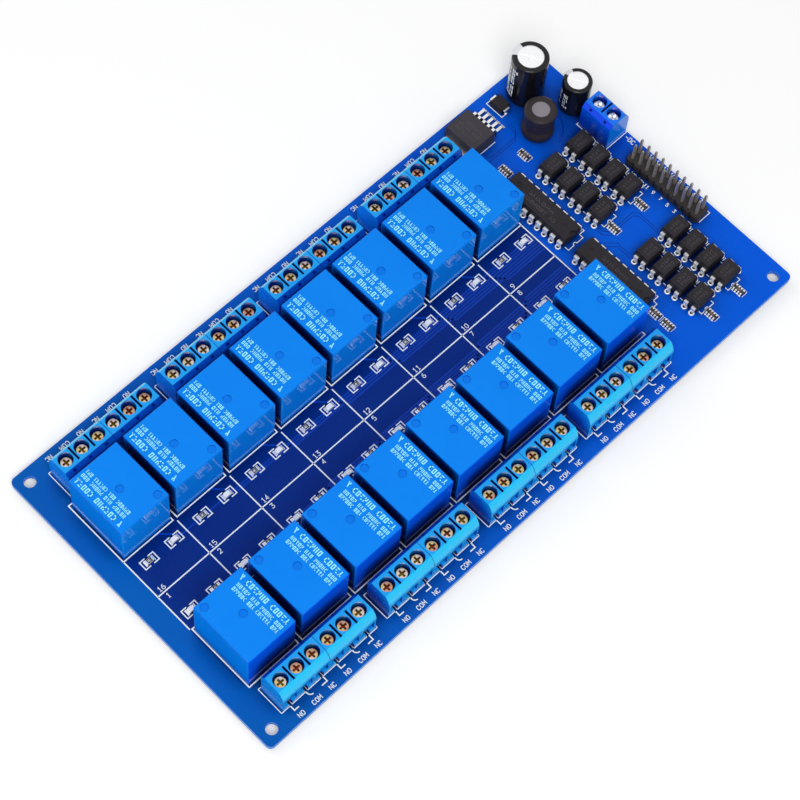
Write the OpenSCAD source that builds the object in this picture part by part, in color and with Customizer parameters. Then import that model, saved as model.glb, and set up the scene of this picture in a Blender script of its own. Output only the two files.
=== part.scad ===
// Relay module board: sixteen sealed relays in two rows on one circuit board,
// with screw terminal blocks along both long edges and the power, driver and
// input parts at one end.
// Lengths in millimetres. Origin: centre of the four mounting holes on the board's
// underside. X runs along the board to the input end, Y to the back row, Z up.

/* [Circuit board] */
// Length of the board
board_l = 185.4; // [180:0.1:200]
// Width of the board
board_w = 93.6; // [92:0.1:110]
// Thickness of the board
board_t = 1.6; // [1:0.1:2.4]
// Radius of the board's corners
board_corner_r = 1.5; // [0.5:0.1:3]
// Distance between the mounting holes along the board
hole_span_x = 178; // [170:0.1:180]
// Distance between the mounting holes across the board
hole_span_y = 86.6; // [80:0.1:88]
// Diameter of the mounting holes
mount_hole_d = 3.2; // [3:0.1:3.6]
// How far the trimmed leads stand out below the board
lead_trim = 1.6; // [1:0.1:2.5]

/* [Relays] */
// Relays in each row
relays_per_row = 8; // [2:2:8]
// Distance from one relay to the next
relay_pitch = 17.4; // [16.4:0.1:17.6]
// Width of a relay's cover, along the row
relay_w = 15.4; // [14:0.1:16]
// Length of a relay's cover, across the row
relay_l = 19; // [18:0.1:19.5]
// Height of a relay's cover
relay_h = 15.4; // [14:0.1:18]
// Wall thickness of a relay's cover
relay_wall = 0.8; // [0.6:0.1:1]
// Radius of the cover's outer edges
relay_edge_r = 0.4; // [0.2:0.1:0.6]

/* [Screw terminals] */
// Distance from one pole to the next
pole_pitch = 5.08; // [5:0.04:5.08]
// Height of a housing
term_h = 10.25; // [10:0.05:12]
// Depth of a housing behind the screws
term_back = 3.9; // [3.8:0.1:4.4]
// Depth of a housing in front of the screws
term_front = 3.7; // [3.5:0.1:4.2]
// Diameter of the screw wells
well_d = 3.9; // [3.8:0.05:4.1]
// How deep the screw heads sit in the wells
head_sink = 1.9; // [1:0.1:2.2]

/* [Pin header] */
// Positions in each of the header's two rows
header_positions = 10; // [4:1:10]
// Height of the pin tips above the board
header_pin_h = 9; // [7:0.1:11]

/* [Capacitors and inductor] */
// Outer diameter of the large capacitor
large_cap_d = 10; // [8:0.1:10.5]
// Height of the large capacitor
large_cap_h = 17; // [12:0.5:22]
// Outer diameter of the small capacitor
small_cap_d = 8; // [6.3:0.1:8.2]
// Height of the small capacitor
small_cap_h = 11.5; // [9:0.5:14]
// Outer diameter of the inductor
inductor_d = 8.7; // [7.8:0.1:9.2]
// Height of the inductor
inductor_h = 10; // [9:0.1:12]

/* [Hidden] */

eps = 0.01;
top = board_t;               // height of the board's top face
lead_z = -lead_trim;         // height of the trimmed lead tips
rows = [0, 1];               // 0 is the front row, 1 is the back row
cells = [0:relays_per_row - 1];

// Rows of relays and terminals
relay_first_x = -78.1;
relay_row_y = [-22.15, 21.95];
term_row_y = [-38.35, 38];
term_shift_x = [0.4, 0.9];   // two blocks' seam from the middle of their two relays, in each row
block_poles = 3;
block_w = block_poles * pole_pitch;

// Relay
relay_base_z = 0.4;          // sealing resin's level inside the cover's rim
relay_base_t = 2;
dimple_r = 1.1;
dimple_depth = 0.25;
corner_dimple = [5.65, -7.7];
coil_pin_w = 0.6;
contact_pin_w = 1;
contact_pin_t = 0.4;
coil_pin_y = 5.1;            // rows of pins, measured from the relay's middle
common_pin_y = 7.1;
outer_pin_x = 6;

// Screw terminal
top_flat_front = 2.05;       // where the housing's flat top begins to curve down in front
slope_end_z = 6.4;           // where that curve meets the upright front
front_drop = 0.4;            // how far the curve's centre lies below that place
front_y = (pow(term_front, 2) - pow(top_flat_front, 2) + pow(front_drop, 2)
    - pow(term_h - slope_end_z + front_drop, 2)) / (2 * (term_front - top_flat_front));
front_r = sqrt(pow(term_front - front_y, 2) + pow(front_drop, 2));
back_chamfer_y = 1.1;
back_chamfer_z = 1.45;
head_h = 1.5;
head_d = well_d - 0.7;
head_edge = 0.2;             // bevel round a screw head
cross_l = 2.1;
cross_w = 0.6;
cross_depth = 0.9;
shank_d = 2.5;
shank_l = 2.85;
well_floor_z = term_h - head_sink - head_h;
screw_tip_z = well_floor_z - shank_l;
chamber = [4.1, 5.45, 4.8];  // room for the wire clamp
chamber_y = -3.15;
chamber_z = 1.2;
clamp_size = [3.7, 4.1, 3.9];
clamp_y = -2.3;
clamp_z = 1.8;
clamp_wall = 0.6;
clamp_roof = 1;
window_w = 3.9;
window_z = [1.6, 5.8];
throat_w = 3.4;
throat_z = [1.9, 5.5];
sill_notch = [1.3, 2];       // width and depth of the notch through the sill
slot_w = 0.6;
slot_l = 4.2;
slot_depth = 2;
term_pin_w = 1;
term_pin_t = 0.8;
term_leg_y = -3;

// Power terminal, screw axis line
power_x = 88.55;
power_y = 17.95;
power_poles = 2;

// Pin header
header_pitch = 2.54;
header_x = 87.8;
header_y = -6.2;
header_strip_h = 2.5;
header_pin_w = 0.64;
header_tip = 0.6;

// Dual-in-line chips
dil_row = 7.62;
dil_pitch = 2.54;
driver_pairs = 9;
driver_size = [6.35, 22.9, 3.3];
driver_x = 57.85;
driver_y = [11, -15.5];
opto_size = [6.5, 4.6, 3.5];
opto_x = [69.3, 79.45];
opto_first_y = [17.8, -17];
opto_pitch = 5.92;
opto_count = 4;
chip_stand = 0.5;
chip_draft = 0.25;           // how far each side of a moulded body leans in
dil_lead_t = 0.25;
dil_lead_w = 0.5;
dil_blade_z = 0.3;           // where the wide blade narrows to the pin
dil_knee_r = 0.45;

// Round parts
large_cap_x = 81.4;
large_cap_y = 39.9;
large_cap_leads = 5;
small_cap_x = 88.3;
small_cap_y = 28.5;
small_cap_leads = 3.5;
cap_lead_d = 0.6;
sleeve_t = 0.2;
inductor_x = 75.5;
inductor_y = 29.4;
inductor_leads = 5;
inductor_lead_d = 0.8;
ferrite_r = inductor_d / 2 - 0.25;
waist_r = 2;
winding_r = 3.4;
flange_h = 1.5;
flange_slope = 0.5;          // how much thicker each flange is at the waist
core_top = inductor_h - 0.25;

// Regulator and diode
reg_x = 60.1;
reg_y = 39.6;
reg_body = [8.6, 10, 4.4];
reg_tab_t = 1.3;
reg_lead_pitch = 1.7;
reg_leads = 5;
diode_x = 73.1;
diode_y = 41.2;
diode_body_size = [3.6, 4.3, 2.2];

// Surface-mounted parts beside each relay
led_from_relay = 4.6;
res_from_relay = -3.5;
smd_row_y = [-8.25, 7.9];
led_size = [2, 1.25, 0.8];
res_size = [2, 1.25, 0.5];
array_size = [1.7, 3.3, 0.55];
array_places = [[67.2, 26], [60, 26], [79.1, -5.3], [68.6, -5.3],
                [79.3, -39.9], [68.8, -39.9], [58.3, -29.8], [58.3, -34.2]];

function relay_x(cell) = relay_first_x + cell * relay_pitch;
function turn(row) = row == 0 ? 180 : 0;
function side(row) = row == 0 ? -1 : 1;
// Middle pole of a block: blocks touch in twos, with a gap between the twos
function block_x(row, cell) = relay_x(2 * floor(cell / 2)) + relay_pitch / 2
    + term_shift_x[row] + (cell % 2 == 0 ? -1 : 1) * block_w / 2;

// ---------- shared shapes ----------

module rounded_plate(l, w, r) {
    square([l - 2 * r, w], center = true);
    square([l, w - 2 * r], center = true);
    for (sx = [-1, 1], sy = [-1, 1])
        translate([sx * (l / 2 - r), sy * (w / 2 - r)])
            circle(r = r, $fn = 32);
}

// A rectangle from z = 0 whose two upper corners are round
module round_topped(w, h, r) {
    translate([-w / 2, 0])
        square([w, h - r]);
    translate([-w / 2 + r, 0])
        square([w - 2 * r, h]);
    for (s = [-1, 1])
        translate([s * (w / 2 - r), h - r])
            circle(r = r, $fn = 32);
}

// Extrudes an outline drawn in (y, z) along X, centred on X = 0
module along_x(l) {
    rotate([90, 0, 90])
        linear_extrude(l, center = true)
            children();
}

// Extrudes an outline drawn in (x, z) along Y, centred on Y = 0
module along_y(l) {
    rotate([90, 0, 0])
        linear_extrude(l, center = true)
            children();
}

// A bar standing on z = z0, centred on X and Y
module bar(w, l, z0, z1) {
    translate([-w / 2, -l / 2, z0])
        cube([w, l, z1 - z0]);
}

// Places children at every relay, turned so that its contact end faces outward
module at_relays(row_list = rows) {
    for (row = row_list, cell = cells)
        translate([relay_x(cell), relay_row_y[row], top])
            rotate(turn(row))
                children();
}

// Places children at every pole of every relay terminal, +Y to the wire side
module at_relay_poles() {
    for (row = rows, cell = cells, pole = [-1:1])
        translate([block_x(row, cell) + pole * pole_pitch, term_row_y[row], top])
            rotate(turn(row))
                children();
}

module at_power_poles() {
    for (pole = [-0.5, 0.5])
        translate([power_x, power_y + pole * pole_pitch, top])
            rotate(-90)
                children();
}

module at_header_pins() {
    for (i = [0:header_positions - 1], row = [-0.5, 0.5])
        translate([header_x + row * header_pitch,
                   header_y + (i - (header_positions - 1) / 2) * header_pitch, 0])
            children();
}

module at_drivers() {
    for (y = driver_y)
        translate([driver_x, y, top])
            children();
}

module at_optos() {
    for (x = opto_x, y0 = opto_first_y, i = [0:opto_count - 1])
        translate([x, y0 - i * opto_pitch, top])
            children();
}

// Two rows of lead places of a chip with this many pairs
module at_dil_leads(pairs) {
    for (i = [0:pairs - 1], s = [-1, 1])
        translate([s * dil_row / 2, (i - (pairs - 1) / 2) * dil_pitch, 0])
            rotate(s < 0 ? 180 : 0)
                children();
}

module at_relay_pins_thin() {
    for (s = [-1, 1])
        translate([s * outer_pin_x, -coil_pin_y])
            children();
}

module at_relay_pins_wide() {
    translate([0, -common_pin_y])
        children();
    for (s = [-1, 1])
        translate([s * outer_pin_x, common_pin_y])
            children();
}

module at_pair(x, y, spacing, angle = 0) {
    for (s = [-0.5, 0.5])
        translate([x, y, 0])
            rotate(angle)
                translate([s * spacing, 0, 0])
                    children();
}

// ---------- circuit board ----------

module circuit_board() {
    color("royalblue")
        difference() {
            linear_extrude(board_t)
                difference() {
                    rounded_plate(board_l, board_w, board_corner_r);
                    mounting_holes();
                }
            lead_holes();
        }
}

module mounting_holes() {
    for (sx = [-1, 1], sy = [-1, 1])
        translate([sx * hole_span_x / 2, sy * hole_span_y / 2])
            circle(d = mount_hole_d, $fn = 48);
}

// Hole through the board, long enough from either face
module drill(d) {
    translate([0, 0, -2 * board_t])
        cylinder(d = d, h = 4 * board_t, $fn = 24);
}

module lead_holes() {
    at_relays() {
        at_relay_pins_thin()
            drill(1);
        at_relay_pins_wide()
            drill(1.3);
    }
    at_relay_poles()
        drill(1.4);
    at_power_poles()
        drill(1.4);
    at_header_pins()
        drill(1);
    at_drivers()
        at_dil_leads(driver_pairs)
            drill(0.8);
    at_optos()
        at_dil_leads(2)
            drill(0.8);
    at_pair(large_cap_x, large_cap_y, large_cap_leads, 0)
        drill(0.8);
    at_pair(small_cap_x, small_cap_y, small_cap_leads, 0)
        drill(0.8);
    at_pair(inductor_x, inductor_y, inductor_leads, 90)
        drill(1);
}

// ---------- relays ----------

// Cover with round outer edges, open below, with two shallow moulding marks on top
module relay_cover(row, cell) {
    color("dodgerblue")
        translate([relay_x(cell), relay_row_y[row], top])
            rotate(turn(row))
                difference() {
                    intersection() {
                        linear_extrude(relay_h)
                            rounded_plate(relay_w, relay_l, relay_edge_r);
                        along_x(relay_w + 1)
                            round_topped(relay_l, relay_h, relay_edge_r);
                        along_y(relay_l + 1)
                            round_topped(relay_w, relay_h, relay_edge_r);
                    }
                    bar(relay_w - 2 * relay_wall, relay_l - 2 * relay_wall,
                        -1, relay_h - relay_wall);
                    for (p = [[0, -0.4], corner_dimple])
                        translate([p[0], p[1], relay_h - dimple_depth])
                            cylinder(r = dimple_r, h = 1, $fn = 32);
                }
}

// Base plate with a slot for each pin, sealed flush inside the cover's rim
module relay_bases() {
    color("darkslateblue")
        at_relays()
            difference() {
                bar(relay_w - 2 * relay_wall, relay_l - 2 * relay_wall,
                    relay_base_z, relay_base_z + relay_base_t);
                at_relay_pins_thin()
                    bar(coil_pin_w, coil_pin_w, -1, 4);
                at_relay_pins_wide()
                    bar(contact_pin_w, contact_pin_t, -1, 4);
            }
}

// Magnet unit sealed inside each relay: wound bobbin on an iron yoke
module relay_coils() {
    floor_z = relay_base_z + relay_base_t;
    winding_r = 4.4;
    winding_l = 8.6;
    flange_t = 0.9;
    axis_z = floor_z + 5;
    coil_y = -2;
    color("peru")
        at_relays()
            translate([0, coil_y, 0]) {
                translate([0, 0, axis_z])
                    rotate([90, 0, 0])
                        cylinder(r = winding_r, h = winding_l + 2 * eps, center = true, $fn = 48);
                for (s = [-1, 1])
                    translate([0, s * (winding_l + flange_t) / 2, 0])
                        bar(10, flange_t, floor_z, axis_z + 4.8);
                along_x(9)
                    yoke_outline(floor_z, axis_z, winding_l / 2 + flange_t);
            }
}

module yoke_outline(z0, axis_z, y_end) {
    plate_t = 1.2;
    polygon([[-y_end - plate_t, z0], [-y_end, z0], [-y_end, axis_z + 4.8],
             [y_end + 1, axis_z + 4.8], [y_end + 1, axis_z + 4.8 + plate_t],
             [-y_end - plate_t, axis_z + 4.8 + plate_t]]);
}

module relay_pins() {
    pin_top = relay_base_z + relay_base_t;
    color("silver")
        at_relays() {
            at_relay_pins_thin()
                bar(coil_pin_w, coil_pin_w, lead_z - top, pin_top);
            at_relay_pins_wide()
                bar(contact_pin_w, contact_pin_t, lead_z - top, pin_top);
        }
}

// ---------- screw terminals ----------

// Side outline of a housing, y to the wire side and z up
module housing_outline() {
    polygon([[-term_back, 0], [term_front, 0], [term_front, slope_end_z],
             [top_flat_front, term_h], [-term_back + back_chamfer_y, term_h],
             [-term_back, term_h - back_chamfer_z]]);
    intersection() {
        translate([front_y, slope_end_z - front_drop])
            circle(r = front_r, $fn = 96);
        translate([0, slope_end_z])
            square([term_front, term_h - slope_end_z]);
    }
}

// What one pole takes out of the housing
module pole_cavity() {
    translate([0, 0, well_floor_z])
        cylinder(d = well_d, h = term_h, $fn = 48);
    translate([0, 0, chamber_z])
        cylinder(d = shank_d + 0.4, h = term_h, $fn = 32);
    translate([-chamber[0] / 2, chamber_y, chamber_z])
        cube(chamber);
    // Wire entry: a wide mouth, a narrower throat and a notch through the sill
    translate([-window_w / 2, term_front - 0.7, window_z[0]])
        cube([window_w, 2, window_z[1] - window_z[0]]);
    translate([-throat_w / 2, 0, throat_z[0]])
        cube([throat_w, term_front + 1, throat_z[1] - throat_z[0]]);
    translate([-sill_notch[0] / 2, term_front - sill_notch[1], -1])
        cube([sill_notch[0], sill_notch[1] + 1, window_z[0] + 1.2]);
    // Slot for the pin's foot
    translate([-term_pin_w / 2 - 0.1, chamber_y, -1])
        cube([term_pin_w + 0.2, 0.8 - chamber_y, chamber_z + 1.1]);
    // Moulding dent in the back wall
    translate([-0.5, -term_back - 1, 7.5])
        cube([1, 1.35, 1.1]);
}

module terminal_housing(poles) {
    difference() {
        along_x(poles * pole_pitch)
            housing_outline();
        for (i = [0:poles - 1])
            translate([(i - (poles - 1) / 2) * pole_pitch, 0, 0])
                pole_cavity();
        for (i = [1:poles - 1])
            translate([(i - poles / 2) * pole_pitch, 0, 0])
                bar(slot_w, slot_l, term_h - slot_depth, term_h + 1);
    }
}

module terminal_block(row, cell) {
    color("deepskyblue")
        translate([block_x(row, cell), term_row_y[row], top])
            rotate(turn(row))
                terminal_housing(block_poles);
}

module power_terminal() {
    color("royalblue")
        translate([power_x, power_y, top])
            rotate(-90)
                terminal_housing(power_poles);
}

// Cross-head clamp screw, its head resting on the floor of the well
module clamp_screw() {
    translate([0, 0, well_floor_z])
        difference() {
            union() {
                cylinder(d = head_d, h = head_h - head_edge, $fn = 48);
                translate([0, 0, head_h - head_edge])
                    cylinder(d1 = head_d, d2 = head_d - 2 * head_edge, h = head_edge, $fn = 48);
                translate([0, 0, -shank_l])
                    cylinder(d = shank_d, h = shank_l + eps, $fn = 32);
            }
            for (a = [0, 90])
                rotate(a)
                    bar(cross_l, cross_w, head_h - cross_depth, head_h + 1);
        }
}

module terminal_screws() {
    color("goldenrod")
        at_relay_poles()
            clamp_screw();
}

module power_terminal_screws() {
    color("silver")
        at_power_poles()
            clamp_screw();
}

// Rising clamp: a rectangular tube with the screw through its roof
module wire_clamp() {
    difference() {
        translate([-clamp_size[0] / 2, clamp_y, clamp_z])
            cube(clamp_size);
        translate([-clamp_size[0] / 2 + clamp_wall, clamp_y - 1, clamp_z + clamp_wall])
            cube([clamp_size[0] - 2 * clamp_wall, clamp_size[1] + 2,
                  clamp_size[2] - clamp_wall - clamp_roof]);
        translate([0, 0, clamp_z + clamp_size[2] - clamp_roof - eps])
            cylinder(d = shank_d, h = clamp_roof + 1, $fn = 32);
    }
}

module terminal_clamps() {
    color("lightgray") {
        at_relay_poles()
            wire_clamp();
        at_power_poles()
            wire_clamp();
    }
}

// Contact strip: from the plate inside the clamp, down behind it and forward to the pin
module contact_strip() {
    strip = 0.5;
    foot_z = 0.5;
    plate_w = 2.2;
    along_x(plate_w)
        polygon([[term_leg_y, chamber_z], [term_leg_y + strip, chamber_z],
                 [term_leg_y + strip, screw_tip_z - strip], [1.6, screw_tip_z - strip],
                 [1.6, screw_tip_z], [term_leg_y, screw_tip_z]]);
    along_x(term_pin_w)
        polygon([[term_leg_y, foot_z], [-term_pin_t / 2, foot_z],
                 [-term_pin_t / 2, lead_z - top], [term_pin_t / 2, lead_z - top],
                 [term_pin_t / 2, foot_z + strip], [term_leg_y + strip, foot_z + strip],
                 [term_leg_y + strip, chamber_z], [term_leg_y, chamber_z]]);
}

module terminal_pins() {
    color("silver") {
        at_relay_poles()
            contact_strip();
        at_power_poles()
            contact_strip();
    }
}

// ---------- input header ----------

module header_strip() {
    cell = 2 * header_pitch;
    notch = 0.5;
    h = header_pitch / 2;
    color("black")
        translate([header_x, header_y, top])
            difference() {
                linear_extrude(header_strip_h)
                    for (i = [0:header_positions - 1])
                        translate([0, (i - (header_positions - 1) / 2) * header_pitch])
                            polygon([[-cell / 2 + notch, -h - eps], [cell / 2 - notch, -h - eps],
                                     [cell / 2, -h + notch], [cell / 2, h - notch],
                                     [cell / 2 - notch, h + eps], [-cell / 2 + notch, h + eps],
                                     [-cell / 2, h - notch], [-cell / 2, -h + notch]]);
                translate([-header_x, -header_y, 0])
                    at_header_pins()
                        bar(header_pin_w, header_pin_w, -1, header_strip_h + 1);
            }
}

// Side outline of a header pin with a tapered tip
module header_pin_outline() {
    w = header_pin_w / 2;
    z1 = top + header_pin_h;
    polygon([[-w, lead_z], [w, lead_z], [w, z1 - header_tip],
             [w / 2, z1], [-w / 2, z1], [-w, z1 - header_tip]]);
}

module header_pins() {
    color("lightslategray")
        at_header_pins()
            intersection() {
                along_x(header_pin_w)
                    header_pin_outline();
                along_y(header_pin_w)
                    header_pin_outline();
            }
}

// ---------- capacitors ----------

// Can with a rolled groove above its base, round shoulders and a scored top
module capacitor_can(d, h) {
    r = d / 2 - sleeve_t;
    groove = 0.35;
    shoulder = 0.5;
    difference() {
        rotate_extrude($fn = 64)
            difference() {
                union() {
                    square([r, h - sleeve_t - shoulder]);
                    square([r - shoulder, h - sleeve_t]);
                    translate([r - shoulder, h - sleeve_t - shoulder])
                        circle(r = shoulder, $fn = 32);
                }
                translate([r + 0.3, 2])
                    circle(r = 0.3 + groove, $fn = 32);
            }
        for (a = [0:60:120])
            rotate(a)
                bar(0.62 * d, 0.25, h - sleeve_t - 0.15, h + 1);
    }
}

// Shrunk sleeve: a thin tube that folds in over the top edge
module capacitor_sleeve(d, h) {
    r = d / 2;
    lip = 0.29 * r;
    color("black")
        rotate_extrude($fn = 64)
            difference() {
                union() {
                    translate([0, 0.3])
                        square([r, h - 0.9]);
                    square([r - 0.6, h]);
                    translate([r - 0.6, h - 0.6])
                        circle(r = 0.6, $fn = 32);
                }
                square([r - sleeve_t, h - 0.7]);
                square([r - 0.7, h - sleeve_t]);
                translate([r - 0.7, h - 0.7])
                    circle(r = 0.5, $fn = 32);
                square([r - lip, h + 1]);
            }
}

module large_capacitor_can() {
    color("silver")
        translate([large_cap_x, large_cap_y, top])
            capacitor_can(large_cap_d, large_cap_h);
}

module large_capacitor_sleeve() {
    translate([large_cap_x, large_cap_y, top])
        capacitor_sleeve(large_cap_d, large_cap_h);
}

module small_capacitor_can() {
    color("silver")
        translate([small_cap_x, small_cap_y, top])
            capacitor_can(small_cap_d, small_cap_h);
}

module small_capacitor_sleeve() {
    translate([small_cap_x, small_cap_y, top])
        capacitor_sleeve(small_cap_d, small_cap_h);
}

// ---------- inductor ----------

// Thickness of a flange at this radius
function flange_at(r) = flange_h + flange_slope * (ferrite_r - r) / (ferrite_r - waist_r);

module inductor_core() {
    color("dimgray")
        translate([inductor_x, inductor_y, top])
            rotate_extrude($fn = 64)
                polygon([[0, 0], [ferrite_r, 0], [ferrite_r, flange_h],
                         [waist_r, flange_at(waist_r)], [waist_r, core_top - flange_at(waist_r)],
                         [ferrite_r, core_top - flange_h], [ferrite_r, core_top], [0, core_top]]);
}

module inductor_winding() {
    color("sienna")
        translate([inductor_x, inductor_y, top])
            rotate_extrude($fn = 64)
                polygon([[waist_r, flange_at(waist_r)], [winding_r, flange_at(winding_r)],
                         [winding_r, core_top - flange_at(winding_r)],
                         [waist_r, core_top - flange_at(waist_r)]]);
}

// Heat-shrink sleeve: grips both flanges, dips at the waist, leaves the core's end bare
module inductor_sleeve() {
    r = inductor_d / 2;
    window_r = 2.45;
    color("black")
        translate([inductor_x, inductor_y, top])
            rotate_extrude($fn = 64)
                polygon([[ferrite_r, 0.2], [r, 0.2], [r, flange_h + 0.3],
                         [winding_r + 0.3, flange_h + 1.5], [winding_r + 0.3, core_top - flange_h - 1.5],
                         [r, core_top - flange_h - 0.3], [r, inductor_h - 0.5],
                         [r - 0.5, inductor_h], [window_r, inductor_h],
                         [window_r, core_top], [ferrite_r, core_top],
                         [ferrite_r, core_top - flange_h], [winding_r, core_top - flange_h - 1.2],
                         [winding_r, flange_h + 1.2], [ferrite_r, flange_h]]);
}

// ---------- leads of the round parts, the regulator and the diode ----------

// One lead of the regulator: out of the body, down and along the board
module regulator_lead_outline() {
    x0 = reg_body[0] / 2;
    t = 0.5;
    polygon([[x0, 2.2], [x0, 2.2 + t], [x0 + 1.4, 2.2 + t], [x0 + 2.4, t],
             [x0 + 4.5, t], [x0 + 4.5, 0], [x0 + 2.1, 0], [x0 + 1.1, 2.2]]);
}

// One end of the diode: out of the end face and folded under the body
module diode_lead_outline() {
    y0 = diode_body_size[1] / 2;
    t = 0.2;
    polygon([[y0, 1.2], [y0, 1.2 + t], [y0 + 0.6, 1.2 + t], [y0 + 0.6, 0],
             [y0 - 0.8, 0], [y0 - 0.8, t], [y0 + 0.4, t], [y0 + 0.4, 1.2]]);
}

module component_leads() {
    color("gainsboro") {
        at_pair(large_cap_x, large_cap_y, large_cap_leads)
            translate([0, 0, lead_z])
                cylinder(d = cap_lead_d, h = top - lead_z, $fn = 24);
        at_pair(small_cap_x, small_cap_y, small_cap_leads)
            translate([0, 0, lead_z])
                cylinder(d = cap_lead_d, h = top - lead_z, $fn = 24);
        at_pair(inductor_x, inductor_y, inductor_leads, 90)
            translate([0, 0, lead_z])
                cylinder(d = inductor_lead_d, h = top - lead_z, $fn = 24);
        for (i = [0:reg_leads - 1])
            translate([reg_x, reg_y + (i - (reg_leads - 1) / 2) * reg_lead_pitch, top])
                along_y(0.8)
                    regulator_lead_outline();
        for (s = [0, 180])
            translate([diode_x, diode_y, top])
                rotate(s)
                    along_x(2)
                        diode_lead_outline();
    }
}

// ---------- regulator and diode ----------

module regulator_body() {
    color("dimgray")
        translate([reg_x, reg_y, top])
            difference() {
                along_y(reg_body[1])
                    polygon([[-reg_body[0] / 2, 0], [reg_body[0] / 2 - 0.2, 0],
                             [reg_body[0] / 2, 2.3], [reg_body[0] / 2 - 0.3, reg_body[2]],
                             [-reg_body[0] / 2 + 0.3, reg_body[2]], [-reg_body[0] / 2, 1.6]]);
                translate([0, 0, -1])
                    bar(reg_body[0] + 2, reg_body[1] - 1.6, 0, 1 + reg_tab_t);
            }
}

// Copper tab under the body, soldered flat to the board
module regulator_tab() {
    l = reg_body[0] + 1.3;
    w = reg_body[1] - 1.6;
    color("silver")
        translate([reg_x - reg_body[0] / 2 - 1.3, reg_y, top])
            difference() {
                translate([0, -w / 2, 0])
                    cube([l - 0.6, w, reg_tab_t]);
                for (s = [-1, 1])
                    translate([0, s * w / 2, -1])
                        rotate(45)
                            cube([1.4, 1.4, 6], center = true);
            }
}

module diode_body() {
    l = diode_body_size[1];
    h = diode_body_size[2];
    color("darkslategray")
        translate([diode_x, diode_y, top])
            intersection() {
                along_x(diode_body_size[0])
                    polygon([[-l / 2 + 0.15, 0.3], [l / 2 - 0.15, 0.3], [l / 2, 1.3],
                             [l / 2 - 0.2, h], [-l / 2 + 0.2, h], [-l / 2, 1.3]]);
                along_y(l + 1)
                    polygon([[-1.65, 0.3], [1.65, 0.3], [1.8, 1.3], [1.6, h], [-1.6, h], [-1.8, 1.3]]);
            }
}

// ---------- chips ----------

// Moulded chip body, wider at its parting line
module chip_body(size) {
    x = size[0] / 2;
    y = size[1] / 2;
    z0 = chip_stand;
    z1 = chip_stand + size[2];
    zm = (z0 + z1) / 2;
    intersection() {
        along_y(size[1])
            polygon([[-x + chip_draft, z0], [x - chip_draft, z0], [x, zm],
                     [x - chip_draft, z1], [-x + chip_draft, z1], [-x, zm]]);
        along_x(size[0])
            polygon([[-y + chip_draft, z0], [y - chip_draft, z0], [y, zm],
                     [y - chip_draft, z1], [-y + chip_draft, z1], [-y, zm]]);
    }
}

module driver_chips() {
    color("dimgray")
        at_drivers()
            difference() {
                chip_body(driver_size);
                // Notch at pin 1's end, and a round ejector mark near each end
                translate([0, -driver_size[1] / 2, chip_stand + driver_size[2] - 0.6])
                    cylinder(r = 1.1, h = 1, $fn = 32);
                for (s = [-1, 1])
                    translate([0, s * (driver_size[1] / 2 - 3.1), chip_stand + driver_size[2] - 0.15])
                        cylinder(r = 0.75, h = 1, $fn = 24);
            }
}

module optocouplers() {
    color("dimgray")
        at_optos()
            difference() {
                chip_body(opto_size);
                translate([-opto_size[0] / 2 + 1.1, opto_size[1] / 2 - 1.1,
                           chip_stand + opto_size[2] - 0.15])
                    cylinder(r = 0.5, h = 1, $fn = 24);
            }
}

// Side outline of such a lead, x away from the body: shoulder, round knee and blade
module dil_lead_outline(reach, shoulder_z) {
    face = dil_lead_t / 2;
    translate([-reach, shoulder_z - dil_lead_t])
        square([reach + face - dil_knee_r, dil_lead_t]);
    translate([face - dil_lead_t, dil_blade_z])
        square([dil_lead_t, shoulder_z - dil_knee_r - dil_blade_z]);
    translate([face - dil_knee_r, shoulder_z - dil_knee_r])
        intersection() {
            difference() {
                circle(r = dil_knee_r, $fn = 32);
                circle(r = dil_knee_r - dil_lead_t, $fn = 32);
            }
            square(dil_knee_r + 1);
        }
}

// One lead of a dual-in-line chip: shoulder out of the parting line, blade, thin pin
module dil_lead(body_w, body_h, blade_w) {
    along_y(blade_w)
        dil_lead_outline(dil_row / 2 - body_w / 2, chip_stand + body_h / 2 + dil_lead_t / 2);
    translate([-dil_lead_t / 2, -dil_lead_w / 2, lead_z - top])
        cube([dil_lead_t, dil_lead_w, dil_blade_z + top - lead_z + eps]);
}

module chip_leads() {
    color("gainsboro") {
        at_drivers()
            at_dil_leads(driver_pairs)
                dil_lead(driver_size[0], driver_size[2], 1.5);
        at_optos()
            at_dil_leads(2)
                dil_lead(opto_size[0], opto_size[2], 1.2);
    }
}

// ---------- surface-mounted parts ----------

// Lens block on a thin carrier, with a cut-back at each end for the terminations
module indicator_leds() {
    color("white")
        at_led_places()
            difference() {
                bar(led_size[0], led_size[1], 0, led_size[2]);
                for (s = [-1, 1])
                    translate([s * led_size[0] / 2, 0, 0])
                        bar(0.7, 2, 0.35, 2);
            }
}

module at_led_places() {
    for (row = rows, cell = cells)
        translate([relay_x(cell) + side(row) * led_from_relay, smd_row_y[row], top])
            children();
}

module at_resistor_places() {
    for (row = rows, cell = cells)
        translate([relay_x(cell) + side(row) * res_from_relay, smd_row_y[row], top])
            children();
}

// Chip resistor: a flat body with wrapped terminations a little proud at each end
module chip_resistor(size) {
    bar(size[0], size[1] - 0.06, 0.03, size[2] - 0.04);
    for (s = [-1, 1])
        translate([s * (size[0] / 2 - 0.2), 0, 0])
            bar(0.4, size[1], 0, size[2]);
}

// Four resistors in one body, four terminations along each long side
module resistor_array() {
    bar(array_size[0] - 0.3, array_size[1], 0.05, array_size[2] - 0.05);
    for (s = [-1, 1], i = [-1.5:1.5])
        translate([s * (array_size[0] / 2 - 0.2), i * 0.8, 0])
            bar(0.4, 0.45, 0, array_size[2]);
}

module chip_resistors() {
    color("darkgray") {
        at_resistor_places()
            chip_resistor(res_size);
        for (p = array_places)
            translate([p[0], p[1], top])
                resistor_array();
    }
}

// ---------- solder ----------

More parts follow.
